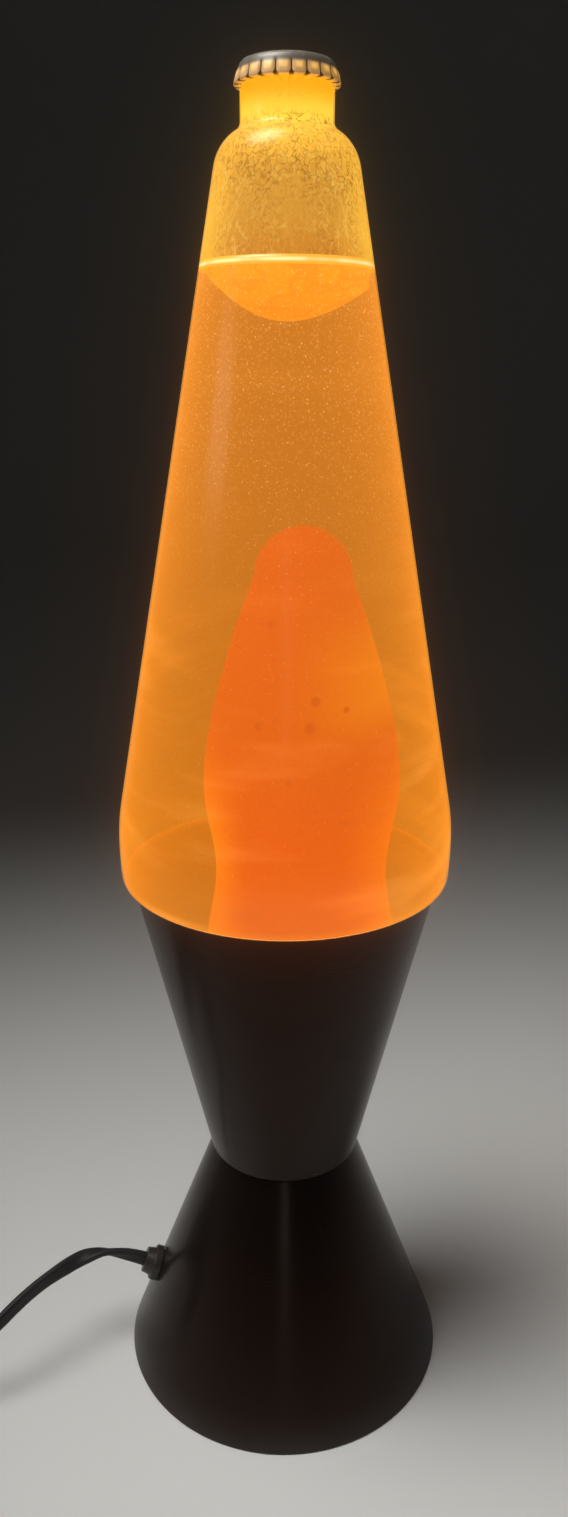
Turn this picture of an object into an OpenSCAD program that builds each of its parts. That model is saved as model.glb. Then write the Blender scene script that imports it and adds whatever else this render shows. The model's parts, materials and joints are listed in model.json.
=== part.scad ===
// Liquid motion lamp: a tapered glass bottle with a crown cap, standing in an hourglass base
// of two spun cones. Millimetres, +Z up, origin at the centre of the foot's rim on the table,
// -Y towards the front.

/* [Base] */
// Radius of the foot at the table
foot_r = 57.3; // [52:0.1:64]
// Height of the waist seam above the table
foot_h = 86; // [80:0.5:96]
// Radius of the foot's top at the waist
foot_top_r = 25.2; // [25:0.1:27]
// Radius of the cup's bottom at the waist
waist_r = 26; // [26:0.1:29]
// Height of the cup from the waist to its rim
cup_h = 104.5; // [98:0.5:115]
// Outer radius of the cup's rim
rim_r = 50.5; // [49:0.1:54]
// Thickness of the spun sheet
sheet_t = 1; // [0.8:0.1:1.2]
// Radius of the hole through the waist for the lamp socket
waist_hole_r = 18.2; // [18:0.1:18.6]
// Width of the foot's turned-in hem
hem_w = 5; // [3:0.5:8]
// Thickness of the bottom cover
cover_t = 1.5; // [1:0.1:2.5]

/* [Bottle] */
// Wall of the glass
glass_wall = 2.4; // [1.8:0.1:3]
// Depth of the bottle's plug that nests in the cup
plug_depth = 26; // [18:0.5:30]
// Radius of the heel ring that overhangs the rim
heel_r = 53.5; // [53:0.1:58]
// Fillet of the heel's lower edge
heel_round = 1.6; // [1:0.1:2]
// Largest radius of the bottle
belt_r = 53.9; // [53.6:0.1:60]
// Height of the largest radius above the heel
belt_h = 13; // [10:0.5:16]
// Height above the heel where the straight taper starts
taper_h = 24; // [20:0.5:30]
// Radius where the straight taper starts
taper_r = 53; // [50:0.1:53.4]
// Height above the heel where the shoulder starts
shoulder_h = 208.7; // [190:0.1:230]
// Radius where the shoulder starts
shoulder_r = 20.2; // [19:0.1:22]
// Radius of the shoulder's bulge
shoulder_round = 12.5; // [11:0.1:14]
// Radius of the neck
neck_r = 12.8; // [12.4:0.1:13]
// Height of the mouth above the shoulder's start
mouth_h = 24.8; // [23:0.1:28]
// Outer radius of the bead that the crown cap grips
bead_r = 13.3; // [13.1:0.1:13.4]
// Height of the liquid line above the heel
liquid_h = 184.7; // [160:0.1:195]

/* [Crown cap] */
// Outer radius of the crimped skirt
cap_r = 14.5; // [14.4:0.1:14.8]
// Height of the cap
cap_h = 6; // [5.6:0.1:6.6]
// Number of flutes in the skirt
cap_flutes = 21; // [18:1:24]
// Depth of each flute
flute_depth = 0.55; // [0.3:0.05:0.6]
// Thickness of the cap's top
cap_t = 0.5; // [0.3:0.05:0.6]
// Thickness of the sealing liner
liner_t = 0.4; // [0.3:0.05:0.6]

/* [Wax] */
// Largest radius of the standing wax column
wax_r = 31.7; // [24:0.1:34]
// Height of the wax column's crown above the heel
wax_top_h = 112; // [80:0.5:120]
// Height of the column's widest place above the heel
wax_belly_h = 30; // [24:0.5:44]
// Radius of the column's foot on the bottle's floor
wax_foot_r = 24; // [22:0.1:25]
// Radius of the column at the height of the heel
wax_heel_r = 28.4; // [26:0.1:30]
// Radius of the column's round crown
wax_crown_r = 15; // [12:0.5:18]
// Distance of the column from the bottle's axis
wax_x = 5.3; // [0:0.1:6]
// Depth of the wax float under the liquid line
float_depth = 15.5; // [10:0.5:18]
// How far the float may sink
float_travel = 30; // [10:1:40]
// Radius of the heating coil's ring on the floor
coil_ring_r = 35; // [34.5:0.1:35.5]
// Radius of one curl of the heating coil
coil_curl_r = 2.8; // [2.4:0.1:3]
// Number of curls in the heating coil
coil_curls = 36; // [24:1:44]
// Thickness of the coil's wire
coil_wire_d = 1.1; // [0.8:0.1:1.2]

/* [Socket and bulb] */
// Outer radius of the socket's body
socket_r = 17.5; // [17.3:0.1:17.7]
// Height of the socket's body
socket_h = 37; // [34:0.5:40]
// How far the socket's body stands up through the waist
socket_above = 4; // [2:0.5:6]
// Radius of the bulb's screw base
screw_r = 13.1; // [12.8:0.1:13.2]
// Height of the bulb's screw base
screw_h = 22; // [20:0.5:24]
// Largest radius of the bulb's glass
bulb_r = 23.8; // [22:0.1:25]
// Height of the bulb's glass above its base
bulb_h = 64; // [58:0.5:66]
// Wall of the bulb's glass
bulb_wall = 0.7; // [0.5:0.1:1]
// Thickness of the bracket's strip
bracket_t = 1; // [0.8:0.1:1.2]
// Width of the bracket's strip
bracket_w = 11; // [8:0.5:12]
// Distance of the waist rivets from the axis
rivet_x = 21.6; // [21.4:0.1:21.8]
// Radius of a rivet's shank
rivet_r = 1.4; // [1.2:0.1:1.5]

/* [Cord] */
// Width of the flat twin cord
cord_w = 5.6; // [5:0.1:6]
// Thickness of the flat twin cord
cord_t = 2.8; // [2.4:0.1:3]
// Height of the strain relief's hole in the foot
relief_z = 28; // [24:0.5:34]
// Radius of the strain relief's flange
relief_r = 6.2; // [5.8:0.1:7]
// Thickness of the strain relief's flange
relief_flange_t = 2.8; // [2:0.1:3.5]
// Radius of the hole in the foot that the strain relief snaps into
relief_hole_r = 5; // [4.8:0.1:5.4]
// Number of turns in each layer of the put-away coil
coil_turns = 3.5; // [2.5:1:4.5]
// Step from one turn to the next
coil_step = 3.4; // [3.3:0.05:3.6]
// Height of one layer of the put-away coil
coil_layer_h = 6.2; // [6.1:0.1:6.6]

/* [Switch and plug] */
// Length of the switch's case
switch_l = 52; // [46:0.5:58]
// Width of the switch's case
switch_w = 22; // [20:0.5:24]
// Height of the switch's case
switch_h = 17; // [15:0.5:19]
// Wall of the switch's case
switch_wall = 1.8; // [1.4:0.1:2.2]
// Radius of the thumb wheel
wheel_r = 13; // [12.5:0.1:14]
// Thickness of the thumb wheel
wheel_t = 4.6; // [4:0.1:5]
// Number of grip notches round the wheel
wheel_notches = 24; // [16:1:32]
// Radius of the wheel's axle
axle_r = 2; // [1.6:0.1:2.4]
// Length of the plug's body
plug_l = 33; // [30:0.5:40]
// Width of the plug's body
plug_w = 25; // [23:0.5:28]
// Height of the plug's body
plug_h = 14; // [12:0.5:15]
// Length of a blade outside the plug
blade_l = 17; // [16:0.5:18]

/* [Hidden] */
$fn = 64;

// Clearance between pieces that rest on each other
seat_gap = 0.3;
// Clearance between the liquid, the wax and what holds them
fill_gap = 0.12;
// Radial play of a wheel on its axle
run_gap = 0.06;
// Clearance of a piece fixed in a hole
fit_gap = 0.1;
// Depth that a cut runs past a face
cut_past = 1;
// Height of everything that lies on the table
lie_z = 0.2;

// Heights that the pieces share
rim_z = foot_h + cup_h;
heel_z = rim_z + seat_gap;
plug_z = heel_z - plug_depth;
shoulder_z = heel_z + shoulder_h;
mouth_z = shoulder_z + mouth_h;
liquid_z = heel_z + liquid_h;
cup_slope = (rim_r - waist_r) / cup_h;
foot_slope = (foot_r - foot_top_r) / foot_h;

// Rounding of the bottle's plug at the floor and radius of the raised floor
plug_round = 5;
punt_h = 5;
plug_side_gap = 1;
plug_top_r = rim_r - sheet_t - plug_side_gap;
plug_foot_r = plug_top_r - plug_depth * cup_slope;
punt_r = plug_foot_r - plug_round;
punt_ball = (punt_r * punt_r + punt_h * punt_h) / (2 * punt_h);
punt_centre = plug_z + punt_h - punt_ball;
punt_angle = asin(punt_r / punt_ball);
neck_fillet = 3;
taper_angle = atan((taper_r - shoulder_r) / (shoulder_h - taper_h));
bulge = [shoulder_r - shoulder_round * cos(taper_angle), shoulder_z - shoulder_round * sin(taper_angle)];
bulge_end = acos((neck_r + neck_fillet - bulge[0]) / (shoulder_round + neck_fillet));
hollow = bulge + (shoulder_round + neck_fillet) * [cos(bulge_end), sin(bulge_end)];

// Points of an arc, from one angle to another
function arc(centre, r, from, to, n = 12) =
    [for (i = [0 : n]) let (a = from + (to - from) * i / n) centre + r * [cos(a), sin(a)]];

// Half outline of the bottle from its floor to its neck, moved inwards by w
function bottle_side(w) = concat(
    arc([0, punt_centre], punt_ball + w, 90, 90 - punt_angle, 8),
    arc([punt_r, plug_z + plug_round], plug_round - w, 270, 360 - atan(cup_slope), 6),
    [[plug_top_r - w, heel_z + min(w, heel_round)]],
    w < heel_round
        ? arc([heel_r - heel_round, heel_z + heel_round], heel_round - w, 270, 360, 6)
        : [[heel_r - w, heel_z + w]],
    [for (i = [1 : 8]) let (h = heel_round + glass_wall + (taper_h - heel_round - glass_wall) * i / 8)
        [belt_edge(h) - w, heel_z + h]],
    arc(bulge, shoulder_round - w, taper_angle, bulge_end, 10),
    arc(hollow, neck_fillet + w, 180 + bulge_end, 180, 6));

// Radius of the bowed belt at a height above the heel
function belt_edge(h) = h < belt_h
    ? belt_r - (belt_r - heel_r) * pow((belt_h - h) / belt_h, 2)
    : belt_r - (belt_r - taper_r) * pow((h - belt_h) / (taper_h - belt_h), 2);

// Inner radius of the bottle on its straight taper
function inner_taper(z) = taper_r - (z - heel_z - taper_h) * tan(taper_angle) - glass_wall;

// Bottle

bead_h = 5;
bead_slope_h = 0.5;
lip_round = 2;

module glass_bottle() {
    outside = concat(bottle_side(0), [[neck_r, mouth_z - bead_h - bead_slope_h], [bead_r, mouth_z - bead_h]],
        arc([bead_r - lip_round, mouth_z - lip_round], lip_round, 0, 90, 6));
    inside = bottle_side(glass_wall);
    bore_r = neck_r - glass_wall;
    color([1, 0.75, 0.3, 0.35])
        rotate_extrude($fn = 96)
            polygon(concat(outside, [[bore_r, mouth_z]], [for (i = [len(inside) - 1 : -1 : 0]) inside[i]]));
}

cap_z = mouth_z + liner_t + cap_t;
cap_corner = 2;
skirt_wall = 1.1;
skirt_flare = 0.6;
skirt_lip_h = 0.6;
flute_r = 1;
cap_neck_r = bead_r + fit_gap + skirt_wall - skirt_flare;

module crown_cap() {
    inner_r = bead_r + fit_gap;
    bottom = cap_z - cap_h;
    color([0.5, 0.5, 0.5])
        difference() {
            rotate_extrude($fn = 84)
                polygon(concat(
                    [[0, cap_z - cap_t], [inner_r - lip_round, cap_z - cap_t]],
                    arc([inner_r - lip_round, cap_z - cap_t - lip_round], lip_round, 90, 0, 5),
                    [[inner_r, bottom], [cap_r, bottom], [cap_r, bottom + skirt_lip_h]],
                    arc([cap_neck_r - cap_corner, cap_z - cap_corner], cap_corner, 0, 90, 6),
                    [[0, cap_z]]));
            for (i = [0 : cap_flutes - 1])
                rotate(i * 360 / cap_flutes)
                    translate([cap_r + flute_r - flute_depth, 0, bottom - cut_past])
                        cylinder(r = flute_r, h = cap_h - cap_corner + cut_past, $fn = 24);
        }
}

module cap_liner() {
    color([0.85, 0.82, 0.75])
        translate([0, 0, mouth_z])
            cylinder(r = bead_r - lip_round, h = liner_t);
}

// Liquid and wax

fill_inset = glass_wall + fill_gap;
float_side_gap = 1.2;
float_r = inner_taper(liquid_z) - float_side_gap;
float_ball = (float_r * float_r + float_depth * float_depth) / (2 * float_depth);
float_centre = liquid_z - float_depth + float_ball;
float_angle = asin(float_r / float_ball);
coil_z = punt_centre + sqrt(pow(punt_ball + glass_wall, 2) - pow(coil_ring_r, 2))
    + coil_curl_r + coil_wire_d / 2 + 2 * fill_gap;
channel_r = coil_curl_r + coil_wire_d / 2 + fill_gap;
// How full the column stays between its belly and its crown
wax_swell = 1.65;

// Soft step from 0 to 1
function soft(t) = (1 - cos(180 * t)) / 2;

// Half outline of the wax column, grown by w on its sides and crown
function wax_side(w) =
    let (floor_z = heel_z - plug_depth + punt_h + glass_wall + 2 * fill_gap,
        belly = heel_z + wax_belly_h,
        crown = heel_z + wax_top_h)
    concat(
        [[0, floor_z - w]],
        [for (i = [0 : 4]) let (t = i / 4)
            [wax_foot_r + (wax_heel_r - wax_foot_r) * soft(t) + w, floor_z - w + (heel_z - floor_z + w) * t]],
        [for (i = [1 : 5]) let (t = i / 5)
            [wax_heel_r + (wax_r - wax_heel_r) * soft(t) + w, heel_z + wax_belly_h * t]],
        [for (i = [1 : 12]) let (t = i / 12)
            [wax_crown_r + (wax_r - wax_crown_r) * (1 - pow(t, wax_swell)) + w,
                belly + (crown - wax_crown_r - belly) * t]],
        arc([0, crown - wax_crown_r], wax_crown_r + w, 0, 90, 8));

module liquid_fill() {
    bowl = bottle_side(fill_inset);
    below = [for (p = bowl) if (p[1] < liquid_z) p];
    edge = inner_taper(liquid_z) - fill_gap;
    color([0.9, 0.55, 0.15, 0.5])
        difference() {
            rotate_extrude($fn = 96)
                polygon(concat(below, [[edge, liquid_z], [0, liquid_z]]));
            translate([wax_x, 0, 0])
                rotate_extrude($fn = 96)
                    polygon(concat([[0, plug_z]], [[wax_foot_r + fill_gap, plug_z]],
                        [for (i = [1 : len(wax_side(0)) - 1]) wax_side(fill_gap)[i]]));
            rotate_extrude($fn = 64)
                translate([coil_ring_r, coil_z])
                    circle(r = channel_r, $fn = 32);
            rotate_extrude($fn = 96)
                polygon(concat(
                    arc([0, float_centre - float_travel], float_ball + seat_gap, 270, 270 + float_angle, 10),
                    [[float_r + seat_gap, liquid_z + cut_past], [0, liquid_z + cut_past]]));
        }
}

module wax_column() {
    color([0.95, 0.4, 0.08])
        translate([wax_x, 0, 0])
            rotate_extrude($fn = 96)
                polygon(wax_side(0));
}

module wax_float() {
    color([1, 0.62, 0.15])
        rotate_extrude($fn = 96)
            polygon(concat(arc([0, float_centre], float_ball, 270, 270 + float_angle, 10), [[0, liquid_z]]));
}

// Points of the wire ring: curls wound round a circle on the bottle's floor
curl_rings = 8;
function curl_point(i, count) =
    let (round_ring = 360 * i / count, round_curl = 360 * i / curl_rings)
    [(coil_ring_r + coil_curl_r * cos(round_curl)) * cos(round_ring),
        (coil_ring_r + coil_curl_r * cos(round_curl)) * sin(round_ring),
        coil_z + coil_curl_r * sin(round_curl)];

module heating_coil() {
    count = coil_curls * curl_rings;
    open_end = 6;
    line = [for (i = [0 : count - open_end]) curl_point(i, count)];
    color([0.7, 0.7, 0.72])
        tube(line, coil_wire_d, coil_wire_d, 6);
}

// Tubes swept along a line of points

function unit(v) = v / norm(v);

function way(line, i) = unit(line[min(i + 1, len(line) - 1)] - line[max(i - 1, 0)]);

// One ring of a tube: its thickness lies across the line, and its width stands up, turned by a twist
function ring(line, i, w, t, sides, twist) =
    let (along = way(line, i),
        across = unit(cross([0, 0, 1], along)),
        over = cross(along, across))
    [for (k = [0 : sides - 1])
        let (a = 360 * (k + 0.5) / sides,
            x = t / 2 * cos(a) / cos(180 / sides),
            z = w / 2 * sin(a))
        line[i] + across * (x * cos(twist) - z * sin(twist)) + over * (x * sin(twist) + z * cos(twist))];

module tube(line, w, t, sides, twists = []) {
    count = len(line);
    points = [for (i = [0 : count - 1])
        each ring(line, i, w, t, sides, len(twists) > 0 ? twists[i] : 0)];
    walls = [for (i = [0 : count - 2], k = [0 : sides - 1])
        let (a = i * sides + k, b = i * sides + (k + 1) % sides)
        each [[a, a + sides, b], [b, a + sides, b + sides]]];
    first = [for (k = [1 : sides - 2]) [0, k, k + 1]];
    last = [for (k = [1 : sides - 2]) let (o = (count - 1) * sides) [o, o + k + 1, o + k]];
    polyhedron(points = points, faces = concat(walls, first, last));
}

// A smooth line through route points, with steps places between each pair
function smooth(route, steps) = concat(
    [for (i = [0 : len(route) - 2], s = [0 : steps - 1])
        let (t = s / steps,
            a = route[max(i - 1, 0)],
            b = route[i],
            c = route[i + 1],
            d = route[min(i + 2, len(route) - 1)])
        0.5 * (2 * b + (c - a) * t + (2 * a - 5 * b + 4 * c - d) * t * t
            + (3 * b - a - 3 * c + d) * t * t * t)],
    [route[len(route) - 1]]);

// Base

function foot_edge(z) = foot_r - z * foot_slope;
function cup_edge(z) = waist_r + (z - foot_h) * cup_slope;
wall_x = sheet_t * sqrt(1 + foot_slope * foot_slope);
cup_wall_x = sheet_t * sqrt(1 + cup_slope * cup_slope);
edge_round = 0.8;
rivet_head_r = 2;
rivet_crown_r = 1.4;

module rivet_holes(z, h) {
    for (x = [-rivet_x, rivet_x])
        translate([x, 0, z - cut_past])
            cylinder(r = rivet_r + fit_gap, h = h + 2 * cut_past, $fn = 24);
}

module base_cup() {
    floor_z = foot_h + sheet_t;
    color([0.06, 0.06, 0.07])
        difference() {
            rotate_extrude($fn = 96)
                polygon(concat(
                    [[waist_hole_r, foot_h]],
                    arc([waist_r - edge_round, foot_h + edge_round], edge_round, 270, 360, 5),
                    [[rim_r, rim_z], [rim_r - cup_wall_x, rim_z],
                        [cup_edge(floor_z) - cup_wall_x, floor_z], [waist_hole_r, floor_z]]));
            rivet_holes(foot_h, sheet_t);
        }
}

module base_foot() {
    top = foot_h - sheet_t;
    color([0.06, 0.06, 0.07])
        difference() {
            rotate_extrude($fn = 96)
                polygon([[foot_r - hem_w, 0], [foot_r, 0], [foot_top_r, foot_h], [waist_hole_r, foot_h],
                    [waist_hole_r, top], [foot_edge(top) - wall_x, top],
                    [foot_edge(sheet_t) - wall_x, sheet_t], [foot_r - hem_w, sheet_t]]);
            rivet_holes(top, sheet_t);
            at_relief()
                translate([0, 0, -relief_hole_r])
                    cylinder(r = relief_hole_r, h = 2 * relief_hole_r, $fn = 48);
        }
}

module waist_rivets() {
    head_h = 1;
    bottom = foot_h - sheet_t - bracket_t;
    color([0.7, 0.7, 0.72])
        for (x = [-rivet_x, rivet_x])
            translate([x, 0, 0])
                rotate_extrude($fn = 32)
                    polygon([[0, bottom - head_h], [rivet_crown_r, bottom - head_h], [rivet_head_r, bottom],
                        [rivet_r, bottom], [rivet_r, foot_h + sheet_t], [rivet_head_r, foot_h + sheet_t],
                        [rivet_crown_r, foot_h + sheet_t + head_h], [0, foot_h + sheet_t + head_h]]);
}

module bottom_cover() {
    color([0.25, 0.2, 0.16])
        translate([0, 0, sheet_t])
            cylinder(r = foot_edge(sheet_t + cover_t) - wall_x - seat_gap, h = cover_t, $fn = 96);
}

// Socket and bulb

socket_z = foot_h + socket_above - socket_h;
socket_floor = 4;
socket_chamfer = 1;
socket_skin = 1;
shell_t = 0.4;
shell_r = screw_r + seat_gap;
contact_t = 1;
contact_r = 4.5;
contact_z = socket_z + socket_floor + contact_t;
tip_h = 2.6;
tip_r = 4.6;
tip_z = contact_z + seat_gap;
insulator_h = 3;
insulator_lip = 1.5;
insulator_inset = 1;
tip_chamfer = 1.6;
screw_z = tip_z + tip_h + insulator_h;
bulb_z = screw_z + screw_h;
bracket_x = waist_hole_r - fit_gap;
bracket_z = socket_z - bracket_t;
socket_screw_x = 8;

module socket_bracket() {
    top = foot_h - sheet_t;
    reach = rivet_x + rivet_head_r;
    outline = [[-reach, top], [-reach, top - bracket_t], [-bracket_x - bracket_t, top - bracket_t],
        [-bracket_x - bracket_t, bracket_z], [bracket_x + bracket_t, bracket_z],
        [bracket_x + bracket_t, top - bracket_t], [reach, top - bracket_t], [reach, top], [bracket_x, top],
        [bracket_x, socket_z], [-bracket_x, socket_z], [-bracket_x, top]];
    color([0.72, 0.7, 0.65])
        difference() {
            translate([0, bracket_w / 2, 0])
                rotate([90, 0, 0])
                    linear_extrude(bracket_w)
                        polygon(outline);
            rivet_holes(top - bracket_t, bracket_t);
            for (x = [-socket_screw_x, socket_screw_x])
                translate([x, 0, bracket_z - cut_past])
                    cylinder(r = screw_hole_r, h = bracket_t + 2 * cut_past, $fn = 24);
        }
}

screw_hole_r = 1.6;
screw_gap = 0.1;
terminal_z = socket_z + 12;
terminal_r = 1.6;
terminal_head_r = 3;
terminal_head_t = 1.4;
terminal_depth = 3;
terminal_end_gap = 0.3;

module socket_body() {
    color([0.1, 0.08, 0.07])
        difference() {
            rotate_extrude($fn = 64)
                polygon([[0, socket_z], [socket_r - socket_chamfer, socket_z],
                    [socket_r, socket_z + socket_chamfer], [socket_r, socket_z + socket_h],
                    [shell_r + shell_t + fit_gap, socket_z + socket_h],
                    [shell_r + shell_t + fit_gap, socket_z + socket_floor], [0, socket_z + socket_floor]]);
            for (x = [-socket_screw_x, socket_screw_x])
                translate([x, 0, socket_z - cut_past])
                    cylinder(r = screw_hole_r, h = socket_floor - socket_skin + cut_past, $fn = 24);
            for (side = [-1, 1])
                translate([0, side * (socket_r - terminal_depth), terminal_z])
                    rotate([-side * 90, 0, 0])
                        cylinder(r = terminal_r + screw_gap, h = terminal_depth + cut_past, $fn = 24);
        }
}

module socket_shell() {
    color([0.8, 0.65, 0.3])
        translate([0, 0, socket_z + socket_floor])
            difference() {
                cylinder(r = shell_r + shell_t, h = socket_h - socket_floor - socket_skin);
                translate([0, 0, -cut_past])
                    cylinder(r = shell_r, h = socket_h + cut_past);
            }
}

module socket_contact() {
    color([0.8, 0.65, 0.3])
        translate([0, 0, socket_z + socket_floor])
            cylinder(r = contact_r, h = contact_t, $fn = 48);
}

module socket_screws() {
    head_h = 1.2;
    head_r = 2.9;
    length = bracket_t + socket_floor - terminal_head_t;
    color([0.75, 0.75, 0.75])
        for (x = [-socket_screw_x, socket_screw_x])
            translate([x, 0, bracket_z])
                union() {
                    cylinder(r = screw_hole_r - screw_gap, h = length, $fn = 24);
                    translate([0, 0, -head_h])
                        cylinder(r1 = head_r - bracket_t, r2 = head_r, h = head_h, $fn = 24);
                }
}

module terminal_screws() {
    color([0.8, 0.68, 0.35])
        for (side = [-1, 1])
            translate([0, side * socket_r, terminal_z])
                rotate([-side * 90, 0, 0])
                    union() {
                        translate([0, 0, terminal_end_gap - terminal_depth])
                            cylinder(r = terminal_r, h = terminal_depth, $fn = 24);
                        cylinder(r = terminal_head_r, h = terminal_head_t, $fn = 32);
                    }
}

neck_bulb_r = screw_r - shell_t - 2 * fit_gap;
neck_bulb_h = 4;
ball_z = bulb_z + bulb_h - bulb_r;

// Half outline of the bulb's glass, moved inwards by w
function bulb_side(w) =
    let (flare = 44,
        neck_power = 1.7,
        neck_end = ball_z - bulb_r * sin(flare),
        out_r = bulb_r * cos(flare))
    concat(
        [[neck_bulb_r - w, bulb_z]],
        [for (i = [0 : 6]) let (t = i / 6)
            [neck_bulb_r + (out_r - neck_bulb_r) * pow(t, neck_power) - w,
                bulb_z + neck_bulb_h + (neck_end - bulb_z - neck_bulb_h) * t]],
        arc([0, ball_z], bulb_r - w, -flare + 6, 90, 14));

module bulb_glass() {
    inside = bulb_side(bulb_wall);
    color([0.95, 0.95, 0.9, 0.5])
        rotate_extrude($fn = 64)
            polygon(concat(bulb_side(0), [for (i = [len(inside) - 1 : -1 : 0]) inside[i]]));
}

module bulb_base() {
    color([0.75, 0.72, 0.65])
        translate([0, 0, screw_z])
            difference() {
                cylinder(r = screw_r, h = screw_h);
                translate([0, 0, shell_t])
                    cylinder(r = screw_r - shell_t, h = screw_h);
            }
}

module bulb_insulator() {
    color([0.08, 0.08, 0.1])
        translate([0, 0, tip_z + tip_h])
            cylinder(r1 = tip_r + insulator_lip, r2 = screw_r - insulator_inset, h = insulator_h);
}

module bulb_tip() {
    color([0.75, 0.72, 0.65])
        translate([0, 0, tip_z])
            cylinder(r1 = tip_r - tip_chamfer, r2 = tip_r, h = tip_h, $fn = 48);
}

stem_r = 4;
stem_h = 26;
stem_flare_h = 8;
stem_press_h = 6;
stem_rod_h = 14;
stem_rod_r = 1.6;

module bulb_stem() {
    color([0.9, 0.95, 0.95, 0.5])
        rotate_extrude($fn = 32)
            polygon([[0, screw_z + shell_t], [screw_r - shell_t - seat_gap, screw_z + shell_t],
                [stem_r, screw_z + stem_flare_h], [stem_r, bulb_z + stem_press_h],
                [stem_rod_r, bulb_z + stem_rod_h], [stem_rod_r, bulb_z + stem_h], [0, bulb_z + stem_h]]);
}

wire_r = 0.45;
filament_r = 0.8;
filament_above = 4;

module bulb_filament() {
    span = 12;
    top = bulb_z + stem_h + filament_above;
    foot = bulb_z + neck_bulb_h;
    color([0.6, 0.6, 0.62])
        union() {
            for (side = [-1, 1])
                translate([side * (stem_r + wire_r + fit_gap), 0, foot])
                    rotate([0, side * atan((span - stem_r) / (top - foot)), 0])
                        cylinder(r = wire_r, h = norm([span - stem_r, top - foot]), $fn = 16);
            translate([-span - wire_r, 0, top])
                rotate([0, 90, 0])
                    cylinder(r = filament_r, h = 2 * (span + wire_r), $fn = 16);
        }
}

// Cord, strain relief and leads

relief_tilt = atan(foot_slope);
relief_in = 9;
relief_nose_r = 4.9;
relief_nose_l = 3;
relief_edge = 0.5;
relief_lead_r = 0.8;
relief_lead_l = 2;

// Frame on the foot's left face, with +Z out of the cone
module at_relief() {
    translate([-foot_edge(relief_z), 0, relief_z])
        rotate([0, relief_tilt - 90, 0])
            children();
}

function relief_point(out, y = 0) =
    [-foot_edge(relief_z) - out * cos(relief_tilt), y, relief_z + out * sin(relief_tilt)];

slot_side_gap = 0.3;
slot_end_gap = 0.35;

module cord_slot(h) {
    r = cord_t / 2 + slot_side_gap;
    reach = cord_w / 2 + slot_end_gap - r;
    linear_extrude(h)
        union() {
            square([2 * r, 2 * reach], center = true);
            for (side = [-1, 1])
                translate([0, side * reach])
                    circle(r = r, $fn = 32);
        }
}

module strain_relief() {
    barrel_r = relief_hole_r - fit_gap;
    color([0.16, 0.12, 0.09])
        at_relief()
            difference() {
                rotate_extrude($fn = 48)
                    polygon([[0, -relief_in], [barrel_r - relief_lead_r, -relief_in],
                        [barrel_r, relief_lead_l - relief_in], [barrel_r, seat_gap], [relief_r, seat_gap],
                        [relief_r, relief_flange_t - relief_edge], [relief_r - relief_edge, relief_flange_t],
                        [relief_nose_r, relief_flange_t],
                        [relief_nose_r - relief_edge, relief_flange_t + relief_nose_l],
                        [0, relief_flange_t + relief_nose_l]]);
                translate([0, 0, -relief_in - cut_past])
                    rotate(90)
                        cord_slot(relief_in + relief_flange_t + relief_nose_l + 2 * cut_past);
            }
}

// Route of the cord from the strain relief's inner end to the switch, in the air and down to the table
switch_at = [-170, -39];
coil_at = [-235, 0];
run_route = concat(
    [relief_point(-relief_in), relief_point(-3), relief_point(3), relief_point(8)],
    [[-61, 0, 32.5], [-68, -1, 34], [-75, -4, 34], [-82, -9, 33], [-89, -15, 31.5], [-95, -21, 29.5],
        [-101, -27, 26.5], [-108, -32, 22.5], [-116, -36, 17.5], [-125, -38, 12.5], [-134, -39, 9.5]],
    [[switch_at[0] + switch_l / 2 + cord_w, switch_at[1], lie_z + switch_h / 2],
        [switch_at[0] + switch_l / 2, switch_at[1], lie_z + switch_h / 2]]);

// The flat cord turns over once after it has left the strain relief
twist_from = relief_in + relief_flange_t + relief_nose_l;
twist_l = 40;
function far_along(line, i) = i == 0 ? 0 : far_along(line, i - 1) + norm(line[i] - line[i - 1]);
function run_twist(far) =
    let (t = min(1, max(0, (far - twist_from) / twist_l)))
    -180 * soft(t);

module cord_run() {
    line = smooth(run_route, 2);
    twists = [for (i = [0 : len(line) - 1]) run_twist(far_along(line, i))];
    color([0.05, 0.05, 0.05])
        tube(line, cord_w, cord_t, 8, twists);
}

// The put-away coil: in along the lower layer, up a layer in half a turn, and out again
turn_rings = 24;
coil_out_r = 39;
coil_rest_h = 1;
coil_low = lie_z + coil_rest_h + cord_w / 2;
climb_turns = 0.5;
whole_turns = 2 * coil_turns + climb_turns;
function coil_radius(n) =
    coil_out_r - coil_step * (n < coil_turns
        ? n
        : n > coil_turns + climb_turns ? whole_turns - n : coil_turns);
function coil_height(n) =
    let (t = min(1, max(0, (n - coil_turns) / climb_turns)))
    coil_low + coil_layer_h * t * t * (3 - 2 * t);
function coil_point(n) =
    let (a = -90 - 360 * n)
    [coil_at[0] + coil_radius(n) * cos(a), coil_at[1] + coil_radius(n) * sin(a), coil_height(n)];
coil_exit_x = switch_at[0] - switch_l / 2;
plug_reach = 33;
plug_at = [coil_at[0] + plug_reach, coil_at[1] + coil_out_r, lie_z + plug_h / 2 + seat_gap];
coil_line = concat(
    [[coil_exit_x, switch_at[1], lie_z + switch_h / 2],
        [coil_exit_x - cord_w, switch_at[1], lie_z + switch_h / 2],
        [coil_exit_x - 16, switch_at[1], 6.5],
        [coil_exit_x - 28, switch_at[1], coil_low + 0.4]],
    [for (i = [0 : whole_turns * turn_rings]) coil_point(i / turn_rings)],
    [[plug_at[0] - 22, plug_at[1], coil_low + coil_layer_h - 0.4],
        [plug_at[0] - 12, plug_at[1], plug_at[2] + 0.6],
        [plug_at[0] - cord_w, plug_at[1], plug_at[2]],
        plug_at]);

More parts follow.
